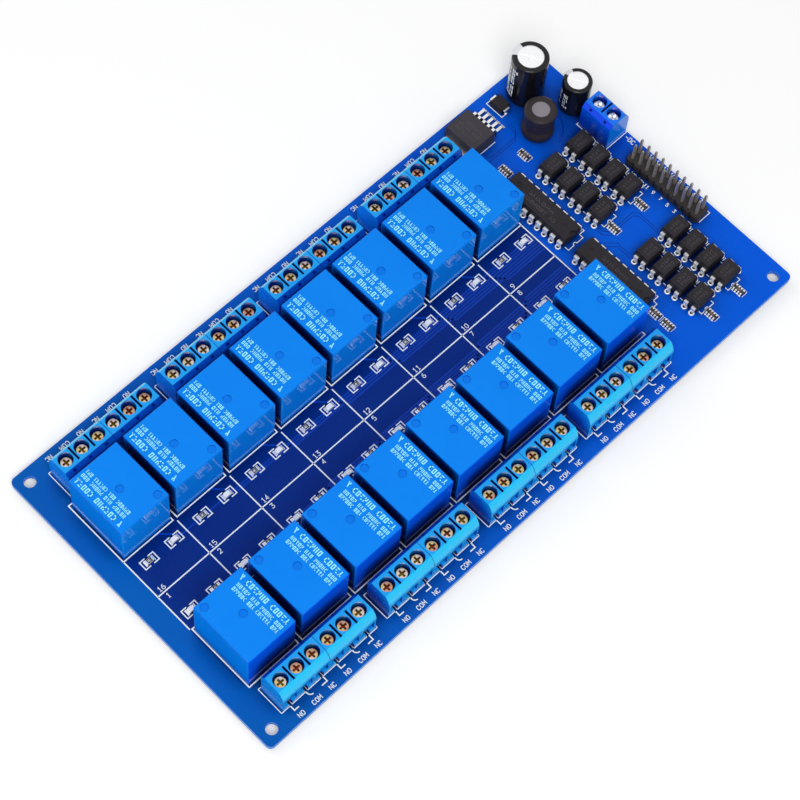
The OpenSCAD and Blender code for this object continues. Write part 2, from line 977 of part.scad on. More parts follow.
// Fillet under the board round a lead of the given section
module solder_fillet(pad_r, lead_w, lead_l) {
    h = 0.9;
    difference() {
        translate([0, 0, -h])
            cylinder(r1 = max(lead_w, lead_l) / 2 + 0.12, r2 = pad_r, h = h, $fn = 32);
        bar(lead_w, lead_l, -2, 1);
    }
}

module round_solder_fillet(pad_r, lead_d) {
    h = 0.9;
    difference() {
        translate([0, 0, -h])
            cylinder(r1 = lead_d / 2 + 0.12, r2 = pad_r, h = h, $fn = 32);
        translate([0, 0, -2])
            cylinder(d = lead_d, h = 3, $fn = 24);
    }
}

module solder_joints() {
    color("lightgray") {
        translate([0, 0, -top]) {
            at_relays() {
                at_relay_pins_thin()
                    solder_fillet(1, coil_pin_w, coil_pin_w);
                at_relay_pins_wide()
                    solder_fillet(1.3, contact_pin_w, contact_pin_t);
            }
            at_relay_poles()
                solder_fillet(1.3, term_pin_w, term_pin_t);
            at_power_poles()
                solder_fillet(1.3, term_pin_w, term_pin_t);
            at_drivers()
                at_dil_leads(driver_pairs)
                    solder_fillet(0.8, dil_lead_t, dil_lead_w);
            at_optos()
                at_dil_leads(2)
                    solder_fillet(0.8, dil_lead_t, dil_lead_w);
        }
        at_header_pins()
            solder_fillet(0.85, header_pin_w, header_pin_w);
        at_pair(large_cap_x, large_cap_y, large_cap_leads)
            round_solder_fillet(1, cap_lead_d);
        at_pair(small_cap_x, small_cap_y, small_cap_leads)
            round_solder_fillet(1, cap_lead_d);
        at_pair(inductor_x, inductor_y, inductor_leads, 90)
            round_solder_fillet(1.1, inductor_lead_d);
    }
}

// ---------- the part ----------

circuit_board();
relay_bases();
relay_coils();
relay_pins();
for (cell = cells) {
    relay_cover(0, cell);
    relay_cover(1, cell);
    terminal_block(0, cell);
    terminal_block(1, cell);
}
terminal_screws();
terminal_clamps();
terminal_pins();
power_terminal();
power_terminal_screws();
header_strip();
header_pins();
large_capacitor_can();
large_capacitor_sleeve();
small_capacitor_can();
small_capacitor_sleeve();
inductor_core();
inductor_winding();
inductor_sleeve();
component_leads();
regulator_body();
regulator_tab();
diode_body();
driver_chips();
optocouplers();
chip_leads();
indicator_leds();
chip_resistors();
solder_joints();
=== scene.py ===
"""Relay module board: materials, print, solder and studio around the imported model.

Lengths are millimetres, but metres in the materials, in the studio and in names that end in _m.
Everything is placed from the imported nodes' own boxes, and Sheet.build turns meshes into metres.
"""

import math
import random

import bpy
from mathutils import Matrix, Vector


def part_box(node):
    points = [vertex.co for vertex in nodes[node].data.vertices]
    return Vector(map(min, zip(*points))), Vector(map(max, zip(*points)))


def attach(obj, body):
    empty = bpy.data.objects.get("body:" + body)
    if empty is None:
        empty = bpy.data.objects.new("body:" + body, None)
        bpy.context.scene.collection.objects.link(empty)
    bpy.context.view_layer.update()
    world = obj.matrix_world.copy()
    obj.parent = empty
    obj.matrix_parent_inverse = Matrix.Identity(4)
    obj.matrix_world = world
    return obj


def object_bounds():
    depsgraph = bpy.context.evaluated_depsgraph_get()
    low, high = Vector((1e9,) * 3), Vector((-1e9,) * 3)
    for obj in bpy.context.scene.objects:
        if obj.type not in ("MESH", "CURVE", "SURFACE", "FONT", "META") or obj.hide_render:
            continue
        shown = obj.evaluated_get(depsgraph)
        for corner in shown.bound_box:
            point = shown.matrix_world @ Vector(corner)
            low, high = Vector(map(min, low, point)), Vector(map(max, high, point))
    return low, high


MM = 0.001                   # a millimetre in metres
CELLS = range(1, 9)          # numbers of the relays and terminal blocks in a row
POLE = 5.08                  # from one terminal pole to the next
PITCH = 2.54                 # from one header pin or chip lead to the next

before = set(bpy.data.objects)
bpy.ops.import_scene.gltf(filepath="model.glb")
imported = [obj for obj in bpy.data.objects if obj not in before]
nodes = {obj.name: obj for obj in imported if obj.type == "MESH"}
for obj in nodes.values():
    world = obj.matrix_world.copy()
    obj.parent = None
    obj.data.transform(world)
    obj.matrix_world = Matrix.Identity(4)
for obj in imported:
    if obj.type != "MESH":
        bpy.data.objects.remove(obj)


def corners(bounds):
    return [[float(c) for c in corner] for corner in bounds]


cad_box = corners(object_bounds())


# ---------- places read from the model

class Place:
    """Box of a node, or of one solid of it, in millimetres."""

    def __init__(self, lo, hi):
        self.x0, self.y0, self.z0 = (c / MM for c in lo)
        self.x1, self.y1, self.z1 = (c / MM for c in hi)
        self.x = (self.x0 + self.x1) / 2
        self.y = (self.y0 + self.y1) / 2

    def half(self):
        """Half of its length and half of its width."""
        return (self.x1 - self.x0) / 2, (self.y1 - self.y0) / 2


def place(node):
    return Place(*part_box(node))


def solids(node):
    """One Place for each separate solid of a node."""
    mesh = nodes[node].data
    key = [tuple(round(c, 6) for c in v.co) for v in mesh.vertices]
    parent = {k: k for k in key}

    def root(k):
        while parent[k] != k:
            parent[k] = parent[parent[k]]
            k = parent[k]
        return k

    for poly in mesh.polygons:
        first = root(key[poly.vertices[0]])
        for v in poly.vertices[1:]:
            parent[root(key[v])] = first
    groups = {}
    for k in set(key):
        groups.setdefault(root(k), []).append(k)
    found = []
    for points in groups.values():
        found.append(Place([min(p[i] for p in points) for i in range(3)],
                           [max(p[i] for p in points) for i in range(3)]))
    return sorted(found, key=lambda p: (round(p.y, 2), round(p.x, 2)))


board = place("circuit_board")
TOP = board.z1               # height of the component side
UNDER = board.z0             # height of the solder side
front_relays = [place(f"relay_cover_f{i}") for i in CELLS]
back_relays = [place(f"relay_cover_b{i}") for i in CELLS]
front_blocks = [place(f"terminal_block_f{i}") for i in CELLS]
back_blocks = [place(f"terminal_block_b{i}") for i in CELLS]
power = place("power_terminal")
header = place("header_strip")
leds = solids("indicator_leds")
chips = solids("chip_resistors")
resistors = [c for c in chips if c.x1 - c.x0 > c.y1 - c.y0]
arrays = [c for c in chips if c.x1 - c.x0 <= c.y1 - c.y0]
optos = solids("optocouplers")
drivers = solids("driver_chips")
regulator = place("regulator_body")
diode = place("diode_body")
large_cap = place("large_capacitor_sleeve")
small_cap = place("small_capacitor_sleeve")
inductor = place("inductor_sleeve")
strip_y = (front_relays[0].y1 + back_relays[0].y0) / 2 - 0.4    # line between the two rows of relays


# ---------- materials

def srgb(r, g, b):
    """Linear colour from 0-255 values."""
    out = []
    for c in (r, g, b):
        c /= 255.0
        out.append(c / 12.92 if c <= 0.04045 else ((c + 0.055) / 1.055) ** 2.4)
    return (*out, 1.0)


SOCKETS = {"metallic": "Metallic", "specular": "Specular IOR Level", "roughness": "Roughness"}


class Material:
    """Principled material with helpers that add procedural nodes."""

    def __init__(self, name, **settings):
        self.data = bpy.data.materials.new(name)
        self.data.use_nodes = True
        self.tree = self.data.node_tree
        self.shader = self.tree.nodes["Principled BSDF"]
        self.spot = self.node("ShaderNodeTexCoord").outputs["Object"]
        self.soft = None
        for socket, value in settings.items():
            self.shader.inputs[SOCKETS[socket]].default_value = value

    def node(self, kind, **props):
        n = self.tree.nodes.new(kind)
        for k, v in props.items():
            setattr(n, k, v)
        return n

    def put(self, value, socket):
        if isinstance(value, (int, float, tuple)):
            socket.default_value = value
        else:
            self.tree.links.new(value, socket)

    def noise(self, scale, detail=3.0):
        n = self.node("ShaderNodeTexNoise")
        n.inputs["Scale"].default_value = scale
        n.inputs["Detail"].default_value = detail
        n.inputs["Roughness"].default_value = 0.55
        self.put(self.spot, n.inputs["Vector"])
        return n.outputs["Fac"]

    def wave(self, scale, distortion, **props):
        n = self.node("ShaderNodeTexWave", **props)
        n.inputs["Scale"].default_value = scale
        n.inputs["Distortion"].default_value = distortion
        self.put(self.spot, n.inputs["Vector"])
        return n.outputs["Fac"]

    def math(self, op, a, b=0.0):
        n = self.node("ShaderNodeMath", operation=op)
        for value, socket in zip((a, b), n.inputs):
            self.put(value, socket)
        return n.outputs[0]

    def times(self, a, b):
        return self.math("MULTIPLY", a, b)

    def span(self, value, low, high, to_low=0.0, to_high=1.0):
        """Maps the stretch from low to high onto to_low to to_high and holds it beyond both ends."""
        n = self.node("ShaderNodeMapRange", clamp=True)
        for v, key in ((value, "Value"), (low, "From Min"), (high, "From Max"),
                       (to_low, "To Min"), (to_high, "To Max")):
            self.put(v, n.inputs[key])
        return n.outputs["Result"]

    def below(self, value, low, high):
        """1 under low, falling to 0 at high."""
        return self.span(value, low, high, 1.0, 0.0)

    def mix(self, share, a, b):
        n = self.node("ShaderNodeMix", data_type="RGBA")
        self.put(share, n.inputs["Factor"])
        self.put(a, n.inputs[6])
        self.put(b, n.inputs[7])
        return n.outputs[2]

    def mottle(self, scale, a, b, detail=3.0):
        """Two colours in uneven patches; a higher scale makes smaller ones."""
        return self.mix(self.noise(scale, detail), a, b)

    def axes(self, source=None):
        n = self.node("ShaderNodeSeparateXYZ")
        self.put(source or self.spot, n.inputs[0])
        return n.outputs[0], n.outputs[1], n.outputs[2]

    def sky(self, reach, shut=0.1, clear=0.5):
        """0 deep in a gap, 1 where the surface is open within this reach."""
        n = self.node("ShaderNodeAmbientOcclusion", samples=8)
        n.inputs["Distance"].default_value = reach
        return self.span(n.outputs["AO"], shut, clear)

    def normal(self, axis):
        """One component of the surface normal."""
        return self.axes(self.node("ShaderNodeNewGeometry").outputs["Normal"])[axis]

    def facing(self, axis, low, high):
        """1 where the surface faces along the axis, either way, 0 where it lies along it."""
        return self.span(self.math("ABSOLUTE", self.normal(axis)), low, high)

    def colour(self, value):
        self.put(value, self.shader.inputs["Base Color"])

    def gloss(self, scale, low, high, detail=3.0):
        """Roughness that wanders between two values; the noise seldom leaves 0.3 to 0.7."""
        self.put(self.span(self.noise(scale, detail), 0.3, 0.7, low, high), self.shader.inputs["Roughness"])

    def bevel(self, radius):
        """Rounds the look of sharp edges; any bump sits on top of it."""
        n = self.node("ShaderNodeBevel", samples=4)
        n.inputs["Radius"].default_value = radius
        self.soft = n.outputs["Normal"]
        self.put(self.soft, self.shader.inputs["Normal"])

    def bump(self, height, strength):
        n = self.node("ShaderNodeBump")
        n.inputs["Strength"].default_value = strength
        n.inputs["Distance"].default_value = 0.1 * MM
        self.put(height, n.inputs["Height"])
        if self.soft:
            self.put(self.soft, n.inputs["Normal"])
        self.put(n.outputs["Normal"], self.shader.inputs["Normal"])
        return self

    def grain(self, scale, strength, detail=3.0):
        return self.bump(self.noise(scale, detail), strength)

    def moulded(self, rough, edge=0.00012, grain=0.02):
        """Finish of a moulding: uneven gloss, edges that look softened and a faint grain."""
        self.gloss(420.0, *rough)
        if edge:
            self.bevel(edge)
        return self.grain(2600.0, grain, 2.0)


def plastic(name, low, high, rough=(0.16, 0.24), specular=0.25, edge=0.0, grain=0.04):
    """Moulded plastic: two close colours in a slow mottle."""
    m = Material(name, specular=specular)
    m.colour(m.mottle(90.0, low, high, 4.0))
    return m.moulded(rough, edge, grain)


def metal(name, low, high, rough, scale=900.0, metallic=1.0):
    """Plated metal: its mottle, gloss and grain follow one scale."""
    m = Material(name, metallic=metallic)
    m.colour(m.mottle(scale * 0.6, low, high, 4.0))
    m.gloss(scale, *rough)
    return m.grain(scale * 2.2, 0.12)


def board_material():
    """Solder mask, lighter over the copper areas and navy in the bare strip between the relay rows, with
    painted shade, near-black navy, where tall parts close round it.
    """
    m = Material("solder_mask", specular=0.08)
    x, y, z = m.axes()
    soft = 0.00025

    def inside(v, low, high):
        return m.times(m.span(v, low - soft, low + soft), m.below(v, high - soft, high + soft))

    along_strip = inside(x, (front_relays[0].x0 - 0.6) * MM, (front_relays[-1].x1 + 0.2) * MM)
    across_strip = inside(y, (front_relays[0].y0 + 1.0) * MM, (back_relays[0].y1 - 1.0) * MM)
    upper_half = m.span(z, 0.0007, 0.0009)
    strip = m.times(m.times(along_strip, across_strip), upper_half)
    slow = m.noise(26.0, 3.0)
    # The copper areas turn bluer from the -X end to the +X end.
    along = m.span(x, board.x0 * MM, board.x1 * MM)
    pour = m.mix(slow, m.mix(along, srgb(0, 84, 170), srgb(0, 82, 214)),
                 m.mix(along, srgb(2, 100, 192), srgb(2, 100, 240)))
    bare = m.mix(slow, srgb(0, 36, 114), srgb(2, 52, 144))
    mask = m.mix(strip, pour, bare)
    weave = m.wave(700.0, 1.5, bands_direction="DIAGONAL")
    edge = m.mix(weave, srgb(24, 118, 232), srgb(60, 150, 240))
    flat = m.facing(2, 0.4, 0.6)
    # Painted shade: the mask darkens to near-black navy beside tall parts and in the gaps between them.
    mask_with_painted_shade = m.mix(m.sky(0.008, 0.25, 0.85), srgb(0, 10, 50), mask)
    m.colour(m.mix(flat, edge, mask_with_painted_shade))
    m.gloss(160.0, 0.2, 0.32, 4.0)
    return m.grain(700.0, 0.05)


def cover_material():
    """Glossy moulded cover, with painted light and shade. The walls of its two round moulding marks are
    painted as thin darker rings and their floors a little darker, its -Y faces are painted darker on the
    front row and lighter on the back row, and its faces in gaps are painted navy.
    """
    m = Material("relay_blue", specular=0.08)
    y, z = m.axes()[1:]
    top = back_relays[0].z1 * MM
    # Painted shade: the floors of the moulding marks a little darker, their walls darker still.
    dimple = m.times(m.below(z, top - 0.00003, top - 0.00001), m.span(z, top - 0.0004, top - 0.00035))
    wall_painted_shade = m.times(dimple, m.below(m.normal(2), 0.5, 0.8))
    skin = m.mottle(90.0, srgb(2, 130, 244), srgb(6, 140, 252), 4.0)
    skin = m.mix(dimple, skin, srgb(2, 124, 241))
    skin = m.mix(wall_painted_shade, skin, srgb(2, 92, 214))
    # Painted light and shade: faces towards -Y are darker on the front row and lighter on the back row.
    back_row = m.math("GREATER_THAN", y, 0.0)
    side = m.mix(back_row, srgb(2, 100, 255), srgb(14, 152, 255))
    skin = m.mix(m.below(m.normal(1), -0.9, -0.6), skin, side)
    # Painted shade: the sides facing a neighbour across a narrow gap darken to navy.
    gap_painted_shade = m.times(m.facing(0, 0.6, 0.9), m.sky(0.006, 0.8, 0.3))
    skin = m.mix(gap_painted_shade, skin, srgb(0, 22, 104))
    # Painted shade: closed-in faces darken to near-black navy.
    m.colour(m.mix(m.sky(0.006, 0.15, 0.56), srgb(0, 14, 84), skin))
    return m.moulded((0.05, 0.09), 0.00022, 0.01)


def housing_material():
    """Terminal housings with painted light and shade: the side towards the relays is painted much darker as
    their shade, the wire-side slope is painted lighter, the end faces are painted dark where blocks close in
    and lighter on the back row, and the screw wells and other hollows are painted navy.
    """
    m = Material("terminal_blue", specular=0.3)
    y, z = m.axes()[1:]
    outward = m.times(m.normal(1), m.math("SIGN", y))
    # Painted shade: the side towards the relays.
    inner = m.below(outward, -0.7, -0.4)
    # Painted light: the slope on the wire side, which faces out and up, is lighter.
    slope_painted_light = m.times(m.span(outward, 0.15, 0.4), m.span(m.normal(2), 0.05, 0.3))
    # Painted shade on the end faces, darker low down and where blocks close in on them; painted light on the
    # back row's ends.
    end = m.facing(0, 0.8, 0.95)
    up = m.span(z, TOP * MM + 0.001, TOP * MM + 0.008)
    shaded = m.mix(up, srgb(2, 46, 158), srgb(4, 96, 230))
    between = m.mix(m.sky(0.009, 0.38, 0.56), shaded, srgb(8, 152, 250))
    back_row = m.math("GREATER_THAN", y, 0.0)
    skin = m.mottle(90.0, srgb(8, 158, 240), srgb(12, 168, 248), 4.0)
    skin = m.mix(slope_painted_light, skin, srgb(10, 200, 255))
    skin = m.mix(inner, skin, srgb(4, 84, 196))
    skin = m.mix(end, skin, m.mix(back_row, between, srgb(6, 142, 255)))
    # Painted shade: hollows darken, to dark navy in the screw wells up high and to a deeper blue low down.
    deep = m.mix(m.span(z, TOP * MM + 0.0045, TOP * MM + 0.0062), srgb(0, 66, 186), srgb(0, 24, 104))
    m.colour(m.mix(m.sky(0.004, 0.1, 0.6), deep, skin))
    return m.moulded((0.2, 0.3))


def power_material():
    """Power terminal: azure on top and, as painted light, at its ends; the side that faces the chips is
    painted a deeper blue as shade, darker low down; hollows are painted navy.
    """
    m = Material("power_blue", specular=0.25)
    z = m.axes()[2]
    top = power.z1 * MM
    # Painted shade: the side that faces the chips, darker low down; painted light: its ends.
    inner = m.below(m.normal(0), -0.7, -0.4)
    wall_painted_shade = m.mix(m.span(z, top - 0.0062, top - 0.002), srgb(0, 66, 196), srgb(0, 98, 255))
    wall_painted_shade = m.mix(m.span(z, top - 0.0016, top - 0.0013), wall_painted_shade, srgb(0, 76, 250))
    skin = m.mottle(90.0, srgb(0, 112, 244), srgb(2, 120, 252), 4.0)
    skin = m.mix(inner, m.mix(m.facing(1, 0.7, 0.9), skin, srgb(6, 136, 255)), wall_painted_shade)
    # Painted shade in hollows.
    m.colour(m.mix(m.sky(0.004), srgb(0, 14, 96), skin))
    return m.moulded((0.16, 0.24))


def screw_material():
    """Plated screws in different tones, from copper through brass to pale, with painted shade darkening
    their crosses.
    """
    m = Material("screw_brass", metallic=1.0)
    z = m.axes()[2]
    tone = m.noise(190.0, 1.0)
    plate = m.mix(m.span(tone, 0.42, 0.47), srgb(198, 152, 130), srgb(208, 190, 138))
    plate = m.mix(m.span(tone, 0.53, 0.58), plate, srgb(216, 200, 192))
    cross_painted_shade = m.mix(m.span(tone, 0.44, 0.56), srgb(112, 54, 32), srgb(112, 92, 34))
    # Painted shade: below the top face of the heads, in the cross slots and down the heads' sides, the
    # colour darkens.
    in_cross = m.below(z, 0.00962, 0.0099)
    m.colour(m.mix(in_cross, plate, cross_painted_shade))
    m.gloss(1400.0, 0.2, 0.36)
    return m.grain(3000.0, 0.12)


def sleeve_material(name, cap, stripe_deg, half_deg, pale):
    """Capacitor film: near-black with a pale stripe down one side that carries dark bars."""
    m = Material(name, specular=0.3)
    x, y, z = m.axes()
    dx = m.math("SUBTRACT", x, cap.x * MM)
    dy = m.math("SUBTRACT", y, cap.y * MM)
    c, s = math.cos(math.radians(stripe_deg)), math.sin(math.radians(stripe_deg))
    along = m.math("ADD", m.times(dx, c), m.times(dy, s))
    aside = m.math("SUBTRACT", m.times(dy, c), m.times(dx, s))
    angle = m.math("ABSOLUTE", m.math("ARCTAN2", aside, along))
    half = math.radians(half_deg)
    stripe = m.below(angle, half - 0.02, half + 0.02)
    middle = m.below(angle, half * 0.33, half * 0.33 + 0.03)
    bar_step, bar_share = 0.0034, 0.52
    bars = m.math("LESS_THAN", m.math("FRACT", m.times(z, 1.0 / bar_step)), bar_share)
    clear_of_rim = m.below(z, (cap.z1 - 1.6) * MM, (cap.z1 - 1.5) * MM)
    bars = m.times(m.times(middle, bars), clear_of_rim)
    stripe = m.times(stripe, m.math("SUBTRACT", 1.0, bars))
    m.colour(m.mix(stripe, m.mottle(150.0, srgb(12, 12, 16), srgb(26, 26, 32)), pale))
    m.gloss(300.0, 0.14, 0.24)
    return m.grain(500.0, 0.06)


def can_material():
    """Bare aluminium can with faint drawing rings."""
    m = Material("bright_can", metallic=0.5)
    m.colour(m.mottle(300.0, srgb(244, 245, 247), srgb(253, 253, 254)))
    m.gloss(700.0, 0.38, 0.5)
    return m.bump(m.wave(900.0, 2.0, wave_type="RINGS", rings_direction="Z"), 0.03)


def led_material():
    """Milky white lens."""
    m = Material("led_lens", specular=0.9, roughness=0.3)
    m.colour(m.mottle(1400.0, srgb(255, 255, 255), srgb(250, 253, 255), 2.0))
    return m.grain(2400.0, 0.05, 2.0)


def resistor_material():
    """Glazed black body of the chip resistors."""
    m = Material("chip_resistor", specular=0.5)
    m.colour(m.mottle(1800.0, srgb(22, 22, 26), srgb(44, 42, 46), 2.0))
    m.gloss(900.0, 0.3, 0.5)
    return m.grain(3000.0, 0.1)


def ink(name, low, high, rough=0.55, deep=None):
    """Print, and other thin matt areas; in a narrow gap it may darken towards the deep colour as painted
    shade.
    """
    m = Material(name, roughness=rough, specular=0.15)
    skin = m.mottle(1500.0, low, high, 4.0)
    m.colour(m.mix(m.sky(0.006, 0.08, 0.4), deep, skin) if deep else skin)
    return m.grain(2600.0, 0.2)


def lead_material():
    """Dull tin plating on the chips' leads."""
    m = Material("dull_tin", metallic=0.5, specular=0.5)
    m.colour(m.mottle(700.0, srgb(226, 228, 232), srgb(250, 250, 250)))
    m.gloss(1100.0, 0.26, 0.42)
    return m.grain(2200.0, 0.1)


M = {
    "board": board_material(),
    "cover": cover_material(),
    "housing": housing_material(),
    "power": power_material(),
    "resin": plastic("base_resin", srgb(10, 20, 70), srgb(16, 30, 90), (0.4, 0.6)),
    "coil": plastic("wound_coil", srgb(120, 62, 30), srgb(150, 82, 40)),
    "tin": metal("bright_tin", srgb(222, 222, 222), srgb(244, 243, 240), (0.14, 0.28)),
    "solder": metal("solder", srgb(205, 208, 212), srgb(238, 238, 238), (0.1, 0.26), 600.0),
    "screw": screw_material(),
    "steel": metal("nickel_steel", srgb(196, 200, 206), srgb(234, 236, 238), (0.18, 0.32)),
    "pin": metal("header_pin", srgb(146, 138, 134), srgb(196, 188, 182), (0.24, 0.36), 1800.0, 0.45),
    "strip": plastic("header_dark", srgb(36, 33, 34), srgb(56, 51, 51), (0.4, 0.55), edge=0.00012),
    "can": can_material(),
    "large_sleeve": sleeve_material("large_sleeve", large_cap, 106.0, 24.0, srgb(234, 236, 240)),
    "small_sleeve": sleeve_material("small_sleeve", small_cap, 88.0, 18.0, srgb(226, 228, 232)),
    "ferrite": plastic("ferrite", srgb(126, 120, 128), srgb(150, 144, 154), (0.4, 0.6), grain=0.3),
    "wire": plastic("enamel_wire", srgb(120, 62, 22), srgb(158, 84, 34)),
    "shrink": plastic("shrink_film", srgb(34, 28, 31), srgb(52, 45, 48), (0.4, 0.5), grain=0.08),
    "epoxy": plastic("moulded_epoxy", srgb(30, 28, 32), srgb(44, 41, 46), (0.42, 0.6), 0.2, 0.00012, 0.35),
    "body": plastic("regulator_epoxy", srgb(54, 51, 57), srgb(70, 67, 74), (0.42, 0.6), 0.2, 0.00012, 0.35),
    "lens": led_material(),
    "resistor": resistor_material(),
    "lead": lead_material(),
    # Silk print with painted shade, navy-grey in narrow gaps.
    "silk": ink("silkscreen", srgb(244, 252, 255), srgb(252, 255, 255), deep=srgb(40, 70, 140)),
    "print": ink("cover_print", srgb(136, 240, 254), srgb(168, 248, 255)),
    "mark": ink("chip_mark", srgb(70, 67, 71), srgb(90, 86, 90)),
    "track": ink("covered_track", srgb(0, 54, 158), srgb(2, 68, 186), 0.26),
    # Painted shade for the moulding dents.
    "dent": ink("moulding_dent", srgb(0, 24, 122), srgb(0, 32, 140), 0.4),
    "gap": ink("track_gap", srgb(0, 40, 132), srgb(0, 50, 154), 0.26),
    # Painted shade for the holes round the chips' leads.
    "hole": ink("lead_hole", srgb(10, 12, 22), srgb(24, 26, 40), 0.4),
    "ceramic": plastic("chip_ceramic", srgb(196, 196, 200), srgb(226, 226, 230), (0.4, 0.6)),
    "code": ink("array_code", srgb(104, 84, 80), srgb(150, 124, 118)),
}

FINISH = {
    "circuit_board": "board", "relay_bases": "resin", "relay_coils": "coil", "relay_pins": "tin",
    "terminal_screws": "screw", "terminal_clamps": "steel", "terminal_pins": "tin",
    "power_terminal": "power", "power_terminal_screws": "steel",
    "header_strip": "strip", "header_pins": "pin",
    "large_capacitor_can": "can", "large_capacitor_sleeve": "large_sleeve",
    "small_capacitor_can": "can", "small_capacitor_sleeve": "small_sleeve",
    "inductor_core": "ferrite", "inductor_winding": "wire", "inductor_sleeve": "shrink",
    "component_leads": "tin", "regulator_body": "body", "regulator_tab": "tin", "diode_body": "epoxy",
    "driver_chips": "epoxy", "optocouplers": "epoxy", "chip_leads": "lead",
    "indicator_leds": "lens", "chip_resistors": "resistor", "solder_joints": "solder",
}
for i in CELLS:
    for row in "fb":
        FINISH[f"relay_cover_{row}{i}"] = "cover"
        FINISH[f"terminal_block_{row}{i}"] = "housing"
for name, obj in nodes.items():
    obj.data.materials.clear()
    obj.data.materials.append(M[FINISH[name]].data)


# ---------- mesh builder

def show(name, data):
    """New object of this data, linked into the scene."""
    obj = bpy.data.objects.new(name, data)
    bpy.context.scene.collection.objects.link(obj)
    return obj


class Sheet:
    """Collects thin print, tracks and small solids of one material into one piece, in millimetres."""

    def __init__(self, name, material, slot, smooth=False):
        self.name, self.material, self.slot, self.smooth = name, material, slot, smooth
        self.verts, self.faces = [], []
        self.spin, self.shift, self.z = 0.0, (0.0, 0.0), 0.0

    def at(self, x=0.0, y=0.0, turn=0.0, z=None):
        """Later shapes are drawn about this point, turned by this many degrees."""
        self.shift, self.spin = (x, y), math.radians(turn)
        if z is not None:
            self.z = z
        return self

    def point(self, x, y, z=None):
        c, s = math.cos(self.spin), math.sin(self.spin)
        height = self.z if z is None else z
        self.verts.append((self.shift[0] + c * x - s * y, self.shift[1] + s * x + c * y, height))
        return len(self.verts) - 1

    def rect(self, x0, y0, x1, y1):
        self.faces.append([self.point(x, y) for x, y in ((x0, y0), (x1, y0), (x1, y1), (x0, y1))])

    def ribbon(self, points, width, closed=False):
        """Flat line of this width along the points, with mitred corners."""
        pts = [Vector(p) for p in points]
        n = len(pts)
        sides = []
        for i, p in enumerate(pts):
            ahead = pts[(i + 1) % n] - p if closed or i < n - 1 else p - pts[i - 1]
            behind = p - pts[i - 1] if closed or i > 0 else ahead
            a, b = ahead.normalized(), behind.normalized()
            across = Vector((-(a + b).y, (a + b).x))
            if across.length < 1e-6:
                across = Vector((-a.y, a.x))
            across.normalize()
            reach = width / 2 / max(0.35, across.dot(Vector((-a.y, a.x))))
            sides.append((self.point(*(p + across * reach)), self.point(*(p - across * reach))))
        for i in range(n if closed else n - 1):
            j = (i + 1) % n
            self.faces.append([sides[i][0], sides[i][1], sides[j][1], sides[j][0]])

    def outline(self, x0, y0, x1, y1, width):
        self.ribbon([(x0, y0), (x1, y0), (x1, y1), (x0, y1)], width, closed=True)

    def circle(self, r, segments, z=None):
        return [self.point(r * math.cos(t), r * math.sin(t), z) for t in turns(segments)]

    def bands(self, loops):
        """Faces from each closed loop of points to the next."""
        for low, high in zip(loops, loops[1:]):
            for i in range(len(low)):
                j = (i + 1) % len(low)
                self.faces.append([low[i], low[j], high[j], high[i]])

    def ring(self, r_in, r_out, segments):
        inner = self.circle(r_in, segments)
        outer = self.circle(r_out, segments)
        self.bands([outer, inner])

    def disc(self, r, segments):
        self.faces.append(self.circle(r, segments))

    def revolve(self, profile, segments):
        """Turned shape about the current point from (radius, height) pairs, closed at the last one."""
        loops = [self.circle(r, segments, h) for r, h in profile]
        self.bands(loops)
        self.faces.append(loops[-1])

    def text(self, words, size, stroke):
        """Plain stroke lettering, centred on the current point. A letter is 0.6 of its height wide."""
        step = size * 0.86
        start = -(len(words) - 1) * step / 2 - size * 0.3
        for i, letter in enumerate(words):
            for line in STROKES[letter]:
                self.ribbon([(start + i * step + px * size, (py - 0.5) * size) for px, py in line], stroke)

    def build(self):
        mesh = bpy.data.meshes.new(self.name)
        mesh.from_pydata([tuple(c * MM for c in v) for v in self.verts], [], self.faces)
        if self.smooth:
            mesh.polygons.foreach_set("use_smooth", [True] * len(mesh.polygons))
        mesh.materials.append(self.material.data)
        mesh.update()
        piece = show(self.name, mesh)
        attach(piece, "root")


def turns(segments):
    return [2 * math.pi * i / segments for i in range(segments)]


